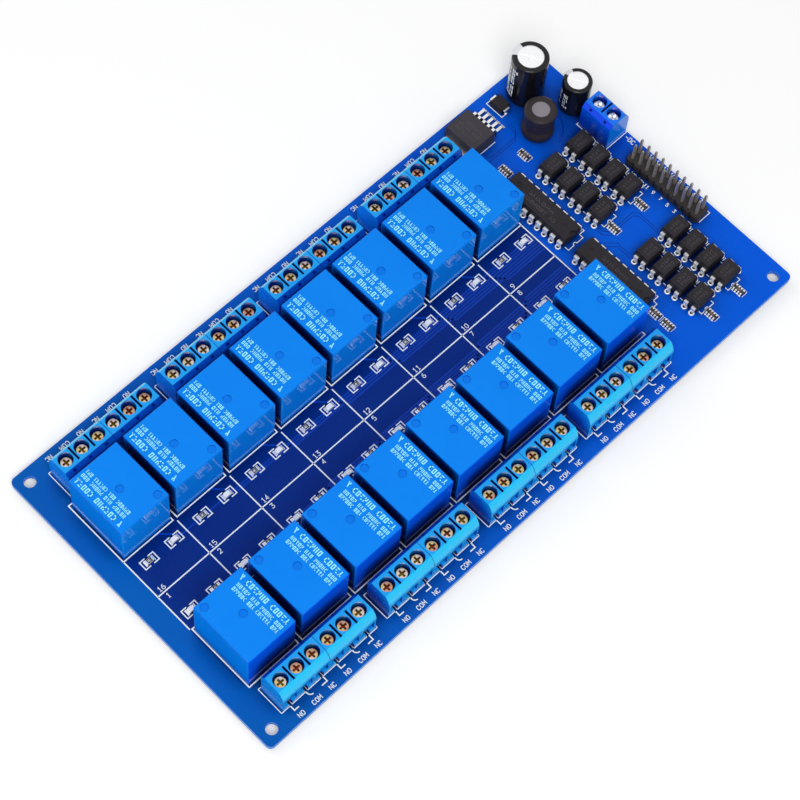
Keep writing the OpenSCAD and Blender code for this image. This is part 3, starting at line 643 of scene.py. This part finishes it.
# Strokes of each letter, in letter heights from its lower left corner
ROUND = [(0.0, 0.25), (0.0, 0.75), (0.14, 0.95), (0.3, 1.0), (0.46, 0.95), (0.6, 0.75),
         (0.6, 0.25), (0.46, 0.05), (0.3, 0.0), (0.14, 0.05), (0.0, 0.25)]
STROKES = {
    "0": [ROUND],
    "1": [[(0.1, 0.78), (0.32, 1.0), (0.32, 0.0)], [(0.1, 0.0), (0.54, 0.0)]],
    "2": [[(0.0, 0.8), (0.15, 1.0), (0.45, 1.0), (0.6, 0.8), (0.6, 0.6), (0.0, 0.0), (0.6, 0.0)]],
    "3": [[(0.0, 1.0), (0.6, 1.0), (0.28, 0.58), (0.46, 0.55), (0.6, 0.38), (0.6, 0.16), (0.45, 0.0),
           (0.12, 0.0), (0.0, 0.14)]],
    "4": [[(0.45, 0.0), (0.45, 1.0), (0.0, 0.3), (0.62, 0.3)]],
    "5": [[(0.56, 1.0), (0.06, 1.0), (0.02, 0.56), (0.42, 0.6), (0.6, 0.42), (0.6, 0.16), (0.44, 0.0),
           (0.12, 0.0), (0.0, 0.12)]],
    "6": [[(0.5, 1.0), (0.18, 0.86), (0.0, 0.5), (0.0, 0.16), (0.15, 0.0), (0.45, 0.0), (0.6, 0.16),
           (0.6, 0.4), (0.45, 0.56), (0.15, 0.56), (0.0, 0.4)]],
    "7": [[(0.0, 1.0), (0.6, 1.0), (0.2, 0.0)]],
    "8": [[(0.3, 0.54), (0.08, 0.68), (0.08, 0.88), (0.22, 1.0), (0.4, 1.0), (0.53, 0.88), (0.53, 0.68),
           (0.3, 0.54), (0.02, 0.36), (0.02, 0.14), (0.18, 0.0), (0.44, 0.0), (0.6, 0.14), (0.6, 0.36),
           (0.3, 0.54)]],
    "9": [[(0.1, 0.0), (0.42, 0.14), (0.6, 0.5), (0.6, 0.84), (0.45, 1.0), (0.15, 1.0), (0.0, 0.84),
           (0.0, 0.6), (0.15, 0.44), (0.45, 0.44), (0.6, 0.6)]],
    "N": [[(0.0, 0.0), (0.0, 1.0), (0.6, 0.0), (0.6, 1.0)]],
    "O": [ROUND],
    "C": [[(0.6, 0.78), (0.46, 0.97), (0.3, 1.0), (0.14, 0.95), (0.0, 0.75), (0.0, 0.25), (0.14, 0.05),
           (0.3, 0.0), (0.46, 0.03), (0.6, 0.22)]],
    "M": [[(0.0, 0.0), (0.0, 1.0), (0.32, 0.4), (0.64, 1.0), (0.64, 0.0)]],
    "D": [[(0.0, 0.0), (0.0, 1.0), (0.36, 1.0), (0.6, 0.75), (0.6, 0.25), (0.36, 0.0), (0.0, 0.0)]],
    "G": [[(0.6, 0.8), (0.46, 1.0), (0.14, 1.0), (0.0, 0.8), (0.0, 0.2), (0.14, 0.0), (0.46, 0.0),
           (0.6, 0.2), (0.6, 0.48), (0.34, 0.48)]],
    "+": [[(0.0, 0.5), (0.6, 0.5)], [(0.3, 0.2), (0.3, 0.8)]],
    "-": [[(0.0, 0.5), (0.6, 0.5)]],
}

INK_Z = TOP + 0.03           # print on the board
TRACK_Z = TOP + 0.015        # lines that follow covered copper
LINE = 0.33                  # width of the lines round the relays
THIN = 0.23                  # width of the lines at the input end


# ---------- print on the board

def print_relay_outlines(sheet):
    """A frame round every relay, one line along the strip and a cross line between neighbours."""
    half_x, half_y = 8.05, 10.05
    for row, out in ((back_relays, 1), (front_relays, -1)):
        for r in row:
            sheet.at(r.x - 0.25 * out, r.y).outline(-half_x, -half_y, half_x, half_y, LINE)
    edge = back_relays[0].y - half_y
    left = back_relays[0].x - half_x - 0.25
    right = back_relays[-1].x + half_x - 0.3
    sheet.at()
    sheet.ribbon([(left, strip_y), (right, strip_y)], LINE)
    sheet.ribbon([(left, edge), (left, -edge)], LINE)
    sheet.ribbon([(right, edge), (right, -edge)], LINE)
    crossings = [left] + [(a.x + b.x) / 2 - 0.2 for a, b in zip(back_relays, back_relays[1:])]
    for x in crossings[1:]:
        sheet.ribbon([(x, edge - 0.75), (x, -edge + 0.75)], LINE)
    for i, x in enumerate(crossings):
        sheet.at(x + 2.2, strip_y + 1.2).text(str(16 - i), 1.25, 0.18)
        sheet.at(x + 2.2, strip_y - 1.35).text(str(1 + i), 1.25, 0.18)


def print_brackets(sheet):
    """Frame with open long sides round each indicator and its resistor."""
    near, far, half = 0.5, 2.15, 1.22
    for part in leds + resistors:
        for turn in (180, 0):
            sheet.at(part.x, part.y, turn)
            sheet.ribbon([(near, -half), (far, -half), (far, half), (near, half)], 0.3)


def print_terminal_marks(sheet):
    """A frame round each two blocks, and a contact symbol with its name at every pole."""
    half, line = 15.75, 0.22
    names = ("NO", "COM", "NC")
    for blocks, out in ((front_blocks, -1), (back_blocks, 1)):
        for a, b in zip(blocks[::2], blocks[1::2]):
            lo, hi = min(a.x0, b.x0), max(a.x1, b.x1)
            mid = (lo + hi) / 2
            wire = (a.y0 if out < 0 else a.y1) + out * 0.15
            back = (a.y1 if out < 0 else a.y0) - out * 0.4
            poles = [lo + (i + 0.5) * POLE for i in range(6)]
            sheet.at()
            left, right = mid - half, mid + half
            sheet.ribbon([(left, wire), (left, back), (right, back), (right, wire)], line)
            stops = [left]
            for pole in poles:
                slot = pole - 0.42, pole + 0.38
                for x in slot:
                    sheet.ribbon([(x, wire), (x, wire - out * 1.4)], 0.14)
                stops += slot
            stops.append(right)
            for x0, x1 in zip(stops[::2], stops[1::2]):
                sheet.ribbon([(x0, wire), (x1, wire)], line)
            for i, pole in enumerate(poles):
                if out < 0:
                    contact_symbol(sheet, pole, wire, 0, names[i % 3])
                else:
                    contact_symbol(sheet, pole, wire - 0.2, 180, names[2 - i % 3])


def contact_symbol(sheet, x, y, turn, kind):
    """Line from a pole to its name: angled to either side, or bowed for the common contact."""
    sheet.at(x, y, turn)
    if kind == "NO":
        line = [(-0.3, -0.1), (-0.3, -1.5), (1.15, -1.5)]
    elif kind == "NC":
        line = [(0.2, 0.0), (0.2, -1.5), (-1.5, -1.5)]
    else:
        line = [(-0.3, 0.0)] + [(-0.3 + 1.1 * (1 - math.cos(t)), -0.4 - 1.1 * math.sin(t))
                                for t in (math.radians(15 * k) for k in range(7))]
    sheet.ribbon(line, 0.32)
    c, s = math.cos(math.radians(turn)), math.sin(math.radians(turn))
    aside, down = 0.3, -3.25
    sheet.at(x + aside * c - down * s, y + aside * s + down * c, turn).text(kind, 1.15, 0.2)


def end_bracket(sheet, chip, left, right, reach):
    """Bracket beyond a chip's -Y end with a small half-round notch turned towards the chip."""
    end = chip.y0 - reach
    notch_r = 0.55
    half_turn = [math.pi * k / 8 for k in range(9)]
    notch = [(notch_r * math.cos(t), end + notch_r * math.sin(t)) for t in half_turn]
    sheet.at(chip.x, 0)
    sheet.ribbon([(right, chip.y0), (right, end)] + notch + [(left, end), (left, chip.y0)], THIN)


def print_chip_frames(sheet):
    """Brackets and short dashes round the driver chips, optocouplers and resistor arrays."""
    for chip in drivers:
        end_bracket(sheet, chip, -2.65, 2.85, 1.3)
        sheet.at(chip.x, chip.y0)
        sheet.ribbon([(2.9, 0.0), (4.6, 0.0), (4.6, 0.5)], THIN)
    columns = sorted({round(c.x, 1) for c in optos})
    for x in columns:
        column = sorted((c for c in optos if round(c.x, 1) == x), key=lambda c: -c.y)
        for group in (column[:4], column[4:]):
            end_bracket(sheet, group[-1], -2.2, 2.4, 1.0)
            for a, b in zip(group, group[1:]):
                sheet.at(a.x, (a.y + b.y) / 2 + 0.25)
                sheet.ribbon([(-2.9, 0.45), (-2.9, -0.45)], THIN)
                sheet.ribbon([(2.55, 0.4), (2.55, -0.4)], THIN)
                sheet.ribbon([(3.2, 0.3), (4.4, 0.3)], THIN)
    for part in arrays:
        sheet.at(part.x, part.y)
        for s in (-1, 1):
            sheet.ribbon([(-0.9, s * 1.95), (1.05, s * 1.95), (1.05, s * 1.6)], 0.15)


def print_input_marks(sheet):
    """Frames and numbers of the header and the power terminal, and lines by the diode and regulator."""
    sheet.at()
    sheet.outline(power.x0 - 0.3, power.y0 - 0.25, power.x1 + 0.25, power.y1 + 0.3, THIN)
    open_side, side = header.x0 + 1.2, header.x1 + 0.35
    low, high = header.y0 - 0.35, header.y1 + 0.35
    sheet.ribbon([(open_side, low), (side, low), (side, high), (open_side, high)], THIN)
    for i in range(10):
        y = header.y1 - PITCH * (i + 0.5)
        name = {0: "GND", 9: "+"}.get(i, str(17 - 2 * i))
        sheet.at(header.x0 - 1.1, y, -90).text(name, 0.95, 0.2)
        if name.isdigit():
            sheet.at(header.x1 + 1.4, y, -90).text(str(18 - 2 * i), 1.1, 0.24)
    sheet.at(power.x1 - 0.9, power.y0 - 2.6, -90).text("-DC", 1.25, 0.24)
    sheet.at(power.x1 - 0.9, power.y1 + 1.6, -90).text("+", 1.2, 0.2)
    left, right = diode.x - 2.0, diode.x - 0.1
    low, high = diode.y0 - 0.75, diode.y1 + 0.75
    sheet.at()
    sheet.ribbon([(right, high), (left, high), (left, low), (right, low)], THIN)
    sheet.ribbon([(regulator.x0 + 3.0, regulator.y0 - 0.45), (regulator.x1, regulator.y0 - 0.45)], THIN)


# ---------- print on the parts

def glyph(sheet, kind, x, lo, hi, height, w):
    """One made-up letter between lo and hi, from lines of width w."""
    mid, top, half = (lo + hi) / 2, x + height, x + (height - w) / 2
    bars = {
        "c": [(x, lo, top, lo + w), (x, lo, x + w, hi), (top - w, lo, top, hi)],
        "d": [(x, lo, top, lo + w), (half, lo, half + w, hi), (x, hi - w, half, hi)],
        "h": [(x, lo, top, lo + w), (x, hi - w, top, hi)],
        "n": [(x, mid - w / 2, top, mid + w / 2), (top - w, lo, top, hi)],
        "s": [(x, hi - w, half, hi)],
        "u": [(x, lo, x + w, hi), (half, lo, half + w, mid), (top - w, mid, top, hi)],
    }
    if kind == "b":
        sheet.outline(x + w / 2, lo + w / 2, top - w / 2, hi - w / 2, w)
    if kind == "s":
        sheet.ribbon([(x, lo + w / 2), (half, mid), (top, hi - w / 2)], w)
    for bar in bars.get(kind, []):
        sheet.rect(*bar)


def greeked_row(sheet, x, start, end, height, words, seed):
    """Row of made-up letters that spell nothing, from start to end along Y, its top towards +X."""
    rng = random.Random(seed)
    word_gap, letter_share = 0.8, 0.72
    step = (end - start) / (sum(words) + word_gap * (len(words) - 1))
    stroke = min(0.2 * height, 0.3 * abs(step))
    at = start
    for count in words:
        for _ in range(count):
            lo, hi = sorted((at, at + step * letter_share))
            glyph(sheet, rng.choice("bdhcnusb"), x, lo, hi, height, stroke)
            at += step
        at += step * word_gap


def print_relay_tops():
    """Three rows on every relay cover, turned round on the front row's."""
    sheet = Sheet("relay_print", M["print"], "relay_cover")
    for row, turn in ((back_relays, 0), (front_relays, 180)):
        for r in row:
            sheet.at(r.x, r.y, turn, r.z1 + 0.02)
            greeked_row(sheet, -6.75, 8.5, -8.1, 1.5, [5, 6, 1], 5)
            greeked_row(sheet, -4.55, 8.5, -7.0, 1.05, [3, 5, 3, 5], 11)
            greeked_row(sheet, -3.1, 8.5, -7.0, 1.05, [3, 6, 3, 6], 23)
    sheet.build()


def print_chip_marks():
    """Faint rows on the driver chips, optocouplers and regulator."""
    sheet = Sheet("chip_marks", M["mark"], "moulded_epoxy")
    for chip in drivers:
        sheet.at(chip.x, chip.y, 0, chip.z1 + 0.01)
        greeked_row(sheet, -1.6, 6.5, -6.0, 0.95, [8, 2], 3)
        greeked_row(sheet, 0.1, 5.0, -4.0, 0.95, [6], 7)
    for chip in optos:
        sheet.at(chip.x, chip.y, 90, chip.z1 + 0.01)
        greeked_row(sheet, -1.25, 1.9, -1.7, 0.75, [4], 13)
        greeked_row(sheet, 0.1, 1.9, -1.7, 0.75, [4], 17)
    sheet.at(regulator.x, regulator.y, 0, regulator.z1 + 0.01)
    greeked_row(sheet, -2.3, 3.6, -3.6, 0.9, [8], 19)
    greeked_row(sheet, -0.8, 3.6, -3.6, 0.9, [5, 3], 29)
    greeked_row(sheet, 0.7, 2.2, -3.6, 0.9, [4], 31)
    sheet.build()


def print_array_codes():
    """Brownish glaze on the middle of the resistor arrays."""
    sheet = Sheet("array_codes", M["code"], "chip_resistor")
    for part in arrays:
        sheet.at(part.x, part.y, 0, part.z1 + 0.005)
        sheet.rect(-0.24, -0.62, 0.24, 0.62)
    sheet.build()


def print_resistor_marks():
    """Pale made-up marks on the single chip resistors."""
    sheet = Sheet("resistor_marks", M["silk"], "chip_resistor")
    for part in resistors:
        sheet.at(part.x, part.y, 90, part.z1 + 0.005)
        greeked_row(sheet, -0.3, 0.5, -0.5, 0.6, [3], 37)
    sheet.build()


def draw_sleeve_print():
    """Rows of pale meaningless marks that run up the side of each capacitor."""
    sheet = Sheet("sleeve_print", M["silk"], "capacitor_sleeve")
    rng = random.Random(97)
    for cap, centres in ((large_cap, (150.0, 172.0)), (small_cap, (150.0, 178.0))):
        r = (cap.x1 - cap.x0) / 2 + 0.015
        sheet.at(cap.x, cap.y)
        for centre in centres:
            z = cap.z0 + 2.0
            while z < cap.z1 - 3.2:
                tall = rng.uniform(0.8, 1.8)
                for part in range(rng.choice((2, 3))):
                    a0 = math.radians(centre - 9.0 + 8.0 * part)
                    a1 = a0 + math.radians(rng.uniform(3.0, 6.5))
                    sheet.faces.append([sheet.point(r * math.cos(a), r * math.sin(a), h)
                                        for a, h in ((a0, z), (a1, z), (a1, z + tall), (a0, z + tall))])
                z += tall + rng.choice((0.3, 0.35, 1.0))
    sheet.build()


# ---------- copper under the mask

def draw_tracks():
    """Coil tracks along the strip: one for each relay, leaving the bundle near its relay."""
    sheet = Sheet("covered_tracks", M["track"], "board")
    sheet.at(0, 0, 0, TRACK_Z)
    end = front_relays[-1].x1 - 0.4
    for row, s in ((back_relays, 1), (front_relays, -1)):
        for k, r in enumerate(row):
            lane = strip_y + s * (2.6 + 0.8 * (len(row) - 1 - k))
            leave = r.x + 2.0
            edge = r.y0 if s > 0 else r.y1
            rise = abs(edge - lane)
            if leave + rise + 1.0 < end:
                sheet.ribbon([(end, lane), (leave + rise, lane), (leave, edge)], 0.46)
    sheet.build()


def draw_gaps():
    """Dark clearance lines in pairs beside the covered tracks at the input end."""
    sheet = Sheet("track_gaps", M["gap"], "board")
    sheet.at(0, 0, 0, TRACK_Z)
    hub = arrays[4]              # the array by the drivers, between the two groups of optocouplers
    corner = regulator.x1, regulator.y0
    bend = [math.radians(a) for a in range(-80, 31, 10)]
    paths = [
        [(hub.x + x, hub.y + y) for x, y in ((-3.7, 2.4), (-3.5, 0.7), (-2.2, -0.8), (6.4, -0.8),
                                             (7.6, -2.1), (7.6, -8.9))],
        [(hub.x + x, hub.y + y) for x, y in ((-5.8, -2.0), (-3.2, -4.4), (-3.2, -9.0))],
        [(corner[0] + x, corner[1] + y) for x, y in ((6.0, 1.0), (6.0, -2.0), (4.2, -3.8), (-5.5, -3.8))],
        [(inductor.x + 7.0 * math.cos(a), inductor.y + 7.0 * math.sin(a)) for a in bend],
    ]
    for points in paths:
        for off in (0.0, 0.75):
            sheet.ribbon([(x + off, y + off) for x, y in points], 0.17)
    sheet.build()


def draw_under_tracks():
    """Wide contact tracks on the underside from relays to terminals, with a ground line down each side."""
    sheet = Sheet("under_tracks", M["track"], "board")
    sheet.at(0, 0, 0, UNDER - 0.02)
    screw_from_back = 3.9
    pin_x, pin_y = 6.0, 7.1
    for relays, blocks, out in ((front_relays, front_blocks, -1), (back_relays, back_blocks, 1)):
        for r, b in zip(relays, blocks):
            axis = (b.y1 if out < 0 else b.y0) + out * screw_from_back
            contact = r.y + out * pin_y
            feet = [(r.x - pin_x, contact), (r.x, r.y - out * pin_y), (r.x + pin_x, contact)]
            for (x, y), pole in zip(feet, poles_of(b.x)):
                sheet.ribbon([(x, y), (x, contact + out * 2.0), (pole, axis - out), (pole, axis)], 2.2)
    for y in (-8.0, 8.0):
        sheet.ribbon([(front_relays[0].x, y), (drivers[0].x - 5.0, y)], 1.2)
    sheet.build()


# ---------- terminals

def poles_of(middle):
    return middle - POLE, middle, middle + POLE


def draw_seams():
    """Dark joint between the two terminal blocks of each pair, along their top and wire side."""
    sheet = Sheet("block_seams", M["gap"], "terminal_housing")
    sheet.at()
    for row, blocks in (("f", front_blocks), ("b", back_blocks)):
        for k in range(0, 8, 2):
            mesh = nodes[f"terminal_block_{row}{k + 1}"].data
            seam, mid, low = blocks[k].x1, blocks[k].y, TOP + 5.0
            rim = {(round(v.co.y / MM, 3), round(v.co.z / MM, 3)) for v in mesh.vertices
                   if abs(v.co.x / MM - seam) < 0.01 and v.co.z / MM > low + 0.5}
            rim = sorted(rim, key=lambda p: math.atan2(p[1] - low, p[0] - mid))
            sides = []
            for y, z in rim:
                out = Vector((y - mid, z - low)).normalized() * 0.02
                sides.append([sheet.point(seam + d, y + out.x, z + out.y) for d in (-0.07, 0.07)])
            for a, b in zip(sides, sides[1:]):
                sheet.faces.append([a[0], a[1], b[1], b[0]])
    sheet.build()


def draw_dents():
    """Painted shade of the small moulding dents: a dark patch at each pole, on the chamfer of a housing's
    inner side.
    """
    sheet = Sheet("moulding_dents", M["dent"], "terminal_housing")
    sheet.at()
    chamfer_run, chamfer_rise, chamfer_z = 1.1, 1.45, TOP + 8.8
    half, proud = 0.42, 0.01
    spots = [(x, b.y0, 0, 1) for b in back_blocks for x in poles_of(b.x)]
    spots += [(x, b.y1, 0, -1) for b in front_blocks for x in poles_of(b.x)]
    spots += [(power.x0, power.y + d, 1, 1) for d in (-POLE / 2, POLE / 2)]
    for x, y, turned, inward in spots:
        quad = []
        for side, t in ((-1, 0.28), (1, 0.28), (1, 0.72), (-1, 0.72)):
            run = inward * (chamfer_run * t - 1.2 * proud)
            dx, dy = (run, half * side) if turned else (half * side, run)
            quad.append(sheet.point(x + dx, y + dy, chamfer_z + chamfer_rise * t + proud))
        sheet.faces.append(quad)
    sheet.build()


# ---------- solder and metal ends

def lead_places():
    """Chip, side (-1 or 1) and Y of every lead of the driver chips and optocouplers."""
    for group, pairs in ((drivers, 9), (optos, 2)):
        for chip in group:
            for i in range(pairs):
                for s in (-1, 1):
                    yield chip, s, chip.y + (i - (pairs - 1) / 2) * PITCH


def draw_top_solder():
    """Solder rings where the chips' leads enter the board, each with a dark disc of painted shade for the
    hole round the lead.
    """
    rings = Sheet("lead_solder", M["lead"], "solder", smooth=True)
    holes = Sheet("lead_holes", M["hole"], "solder")
    rise = [(0.86, 0.01), (0.82, 0.12), (0.7, 0.22), (0.56, 0.2), (0.44, 0.1), (0.4, 0.04)]
    profile = [(r, TOP + h) for r, h in rise]
    for chip, s, y in lead_places():
        x = chip.x + s * 3.93
        rings.at(x, y).revolve(profile, 20)
        holes.at(x, y, 0, TOP + 0.06).disc(0.46, 16)
    rings.build()
    holes.build()


def draw_shoulders():
    """Bright tops on the wide shoulders of the chips' leads."""
    sheet = Sheet("lead_shoulders", M["lead"], "tinned_metal")
    for chip, s, y in lead_places():
        half = 0.75 if chip in drivers else 0.6
        height = (chip.z0 + chip.z1) / 2 + 0.125
        block(sheet, chip.x + s * 3.6, y, 0.36, half, height - 0.2, height + 0.015)
    sheet.build()


def draw_chip_solder():
    """Solder wedges at the ends of the surface-mounted parts, and terminations on their bodies."""
    pads = Sheet("chip_solder", M["lead"], "solder")
    caps = Sheet("chip_terminations", M["lead"], "tinned_metal")
    edges = Sheet("chip_edges", M["ceramic"], "chip_resistor")
    low = TOP + 0.02
    array_step, regulator_step = 0.8, 1.7
    for part in leds + resistors:
        half, w = part.half()
        for s, turn in ((-1, 180), (1, 0)):
            wedge(pads, part.x + s * half, part.y, turn, 0.5, w + 0.1, min(0.4, (part.z1 - TOP) * 0.7))
            if part in resistors:
                block(caps, part.x + s * (half - 0.15), part.y, 0.17, w + 0.015, low, part.z1 + 0.015)
                block(edges, part.x, part.y + s * (w - 0.03), half - 0.3, 0.05, low, part.z1 - 0.02)
            else:
                block(caps, part.x + s * (half - 0.13), part.y, 0.15, w + 0.01, low, TOP + 0.37)
    for part in arrays:
        half = part.half()[0]
        for s, turn in ((-1, 180), (1, 0)):
            for k in range(4):
                y = part.y + (k - 1.5) * array_step
                wedge(pads, part.x + s * half, y, turn, 0.42, 0.2, 0.34)
                block(caps, part.x + s * (half - 0.2), y, 0.24, 0.22, low, part.z1 + 0.015)
    for k in range(5):
        wedge(pads, regulator.x1 + 4.5, regulator.y + (k - 2) * regulator_step, 0, 0.7, 0.55, 0.35)
    pads.build()
    caps.build()
    edges.build()


def wedge(sheet, x, y, turn, length, half_width, height):
    """Concave solder wedge against an end face at x, running outward along the turned +X."""
    sheet.at(x, y, turn)
    steps, low = 5, TOP + 0.005
    rows = []
    for t in (k / steps for k in range(steps + 1)):
        rows.append((t * length, half_width + 0.12 * t, TOP + 0.01 + height * (1 - t) ** 2))
    left = [sheet.point(u, w, h) for u, w, h in rows]
    right = [sheet.point(u, -w, h) for u, w, h in rows]
    left_foot = [sheet.point(u, w + 0.02, low) for u, w, h in rows]
    right_foot = [sheet.point(u, -w - 0.02, low) for u, w, h in rows]
    for i in range(steps):
        sheet.faces.append([right[i], right[i + 1], left[i + 1], left[i]])
        sheet.faces.append([left[i], left[i + 1], left_foot[i + 1], left_foot[i]])
        sheet.faces.append([right[i + 1], right[i], right_foot[i], right_foot[i + 1]])


def block(sheet, x, y, half_x, half_y, z0, z1):
    """Small block with a chamfered top and no bottom."""
    chamfer = 0.03
    sheet.at(x, y)
    levels = ((half_x, half_y, z0), (half_x, half_y, z1 - chamfer), (half_x - chamfer, half_y - chamfer, z1))
    loops = [[sheet.point(a, b, z) for a, b in ((-u, -v), (u, -v), (u, v), (-u, v))] for u, v, z in levels]
    sheet.bands(loops)
    sheet.faces.append(loops[-1])


def draw_rings():
    """Tinned lands round every joint on the underside."""
    sheet = Sheet("bare_lands", M["solder"], "solder")
    for part in solids("solder_joints"):
        r = part.half()[0]
        sheet.at(part.x, part.y, 0, UNDER - 0.03).ring(r * 0.9, r + 0.22, 20)
    sheet.build()


board_print = Sheet("board_print", M["silk"], "board")
board_print.at(0, 0, 0, INK_Z)
print_relay_outlines(board_print)
print_brackets(board_print)
print_terminal_marks(board_print)
print_chip_frames(board_print)
print_input_marks(board_print)
board_print.build()
print_relay_tops()
print_chip_marks()
print_resistor_marks()
print_array_codes()
draw_tracks()
draw_gaps()
draw_under_tracks()
draw_top_solder()
draw_shoulders()
draw_seams()
draw_dents()
draw_sleeve_print()
draw_chip_solder()
draw_rings()


# ---------- studio

def math_node(tree, op, *inputs):
    n = tree.nodes.new("ShaderNodeMath")
    n.operation = op
    for source, socket in zip(inputs, n.inputs):
        if isinstance(source, float):
            socket.default_value = source
        else:
            tree.links.new(source, socket)
    return n.outputs[0]


def seen_directly(tree):
    """1 for camera, mirror and glass rays, which see plain white, and 0 for the rays that carry light."""
    path = tree.nodes.new("ShaderNodeLightPath").outputs
    mirror_or_glass = math_node(tree, "MAXIMUM", path["Is Glossy Ray"], path["Is Transmission Ray"])
    return math_node(tree, "MAXIMUM", path["Is Camera Ray"], mirror_or_glass)


def make_world():
    """White surroundings at a plain level of light."""
    world = bpy.data.worlds.new("studio")
    bpy.context.scene.world = world
    world.use_nodes = True
    tree = world.node_tree
    background = tree.nodes["Background"]
    background.inputs["Color"].default_value = (1, 1, 1, 1)
    strength = tree.nodes.new("ShaderNodeMapRange")
    strength.inputs["To Min"].default_value = 0.4
    strength.inputs["To Max"].default_value = 1.0
    tree.links.new(seen_directly(tree), strength.inputs["Value"])
    tree.links.new(strength.outputs["Result"], background.inputs["Strength"])


def make_floor():
    """Pale floor under the trimmed leads; it keeps the board's shadow."""
    half_m = 3.0
    z = cad_box[0][2]
    mesh = bpy.data.meshes.new("studio_floor")
    spots = [(x * half_m, y * half_m, z) for x, y in ((-1, -1), (1, -1), (1, 1), (-1, 1))]
    mesh.from_pydata(spots, [], [(0, 1, 2, 3)])
    floor = show("studio_floor", mesh)
    material = bpy.data.materials.new("floor_white")
    material.use_nodes = True
    tree = material.node_tree
    shader = tree.nodes["Principled BSDF"]
    for key, value in (("Base Color", (0.9, 0.9, 0.9, 1)), ("Roughness", 0.7), ("Specular IOR Level", 0.1),
                       ("Emission Color", (1, 1, 1, 1))):
        shader.inputs[key].default_value = value
    glow = math_node(tree, "MULTIPLY", seen_directly(tree), 0.2)
    tree.links.new(glow, shader.inputs["Emission Strength"])
    mesh.materials.append(material)


def add_area(name, place_m, target_m, size, energy):
    light = bpy.data.lights.new(name, "AREA")
    light.shape = "DISK"
    light.size = size
    light.energy = energy
    lamp = show(name, light)
    lamp.location = place_m
    lamp.rotation_euler = (Vector(target_m) - Vector(place_m)).to_track_quat("-Z", "Y").to_euler()


def make_camera():
    """Long lens from beyond the front left corner, high above the board and a little rolled."""
    camera = bpy.data.cameras.new("camera")
    camera.lens = 111.64
    camera.sensor_width = 36.0
    view = show("camera", camera)
    right = Vector((0.71379, -0.69824, 0.05433))
    up = Vector((0.61539, 0.66235, 0.42730))
    away = right.cross(up)
    spot = Vector((-0.215168, -0.171807, 0.563671))
    view.matrix_world = Matrix([(*row, 0) for row in (right, up, away)] + [(*spot, 1)]).transposed()
    bpy.context.scene.camera = view


make_world()
make_floor()
make_camera()
add_area("key", (-0.36, -0.38, 0.85), (0, 0, 0), 0.6, 5.6)
add_area("fill", (-0.1, 0.75, 0.65), (0, 0, 0), 0.6, 1.3)
scene = bpy.context.scene
scene.view_settings.view_transform = "Standard"
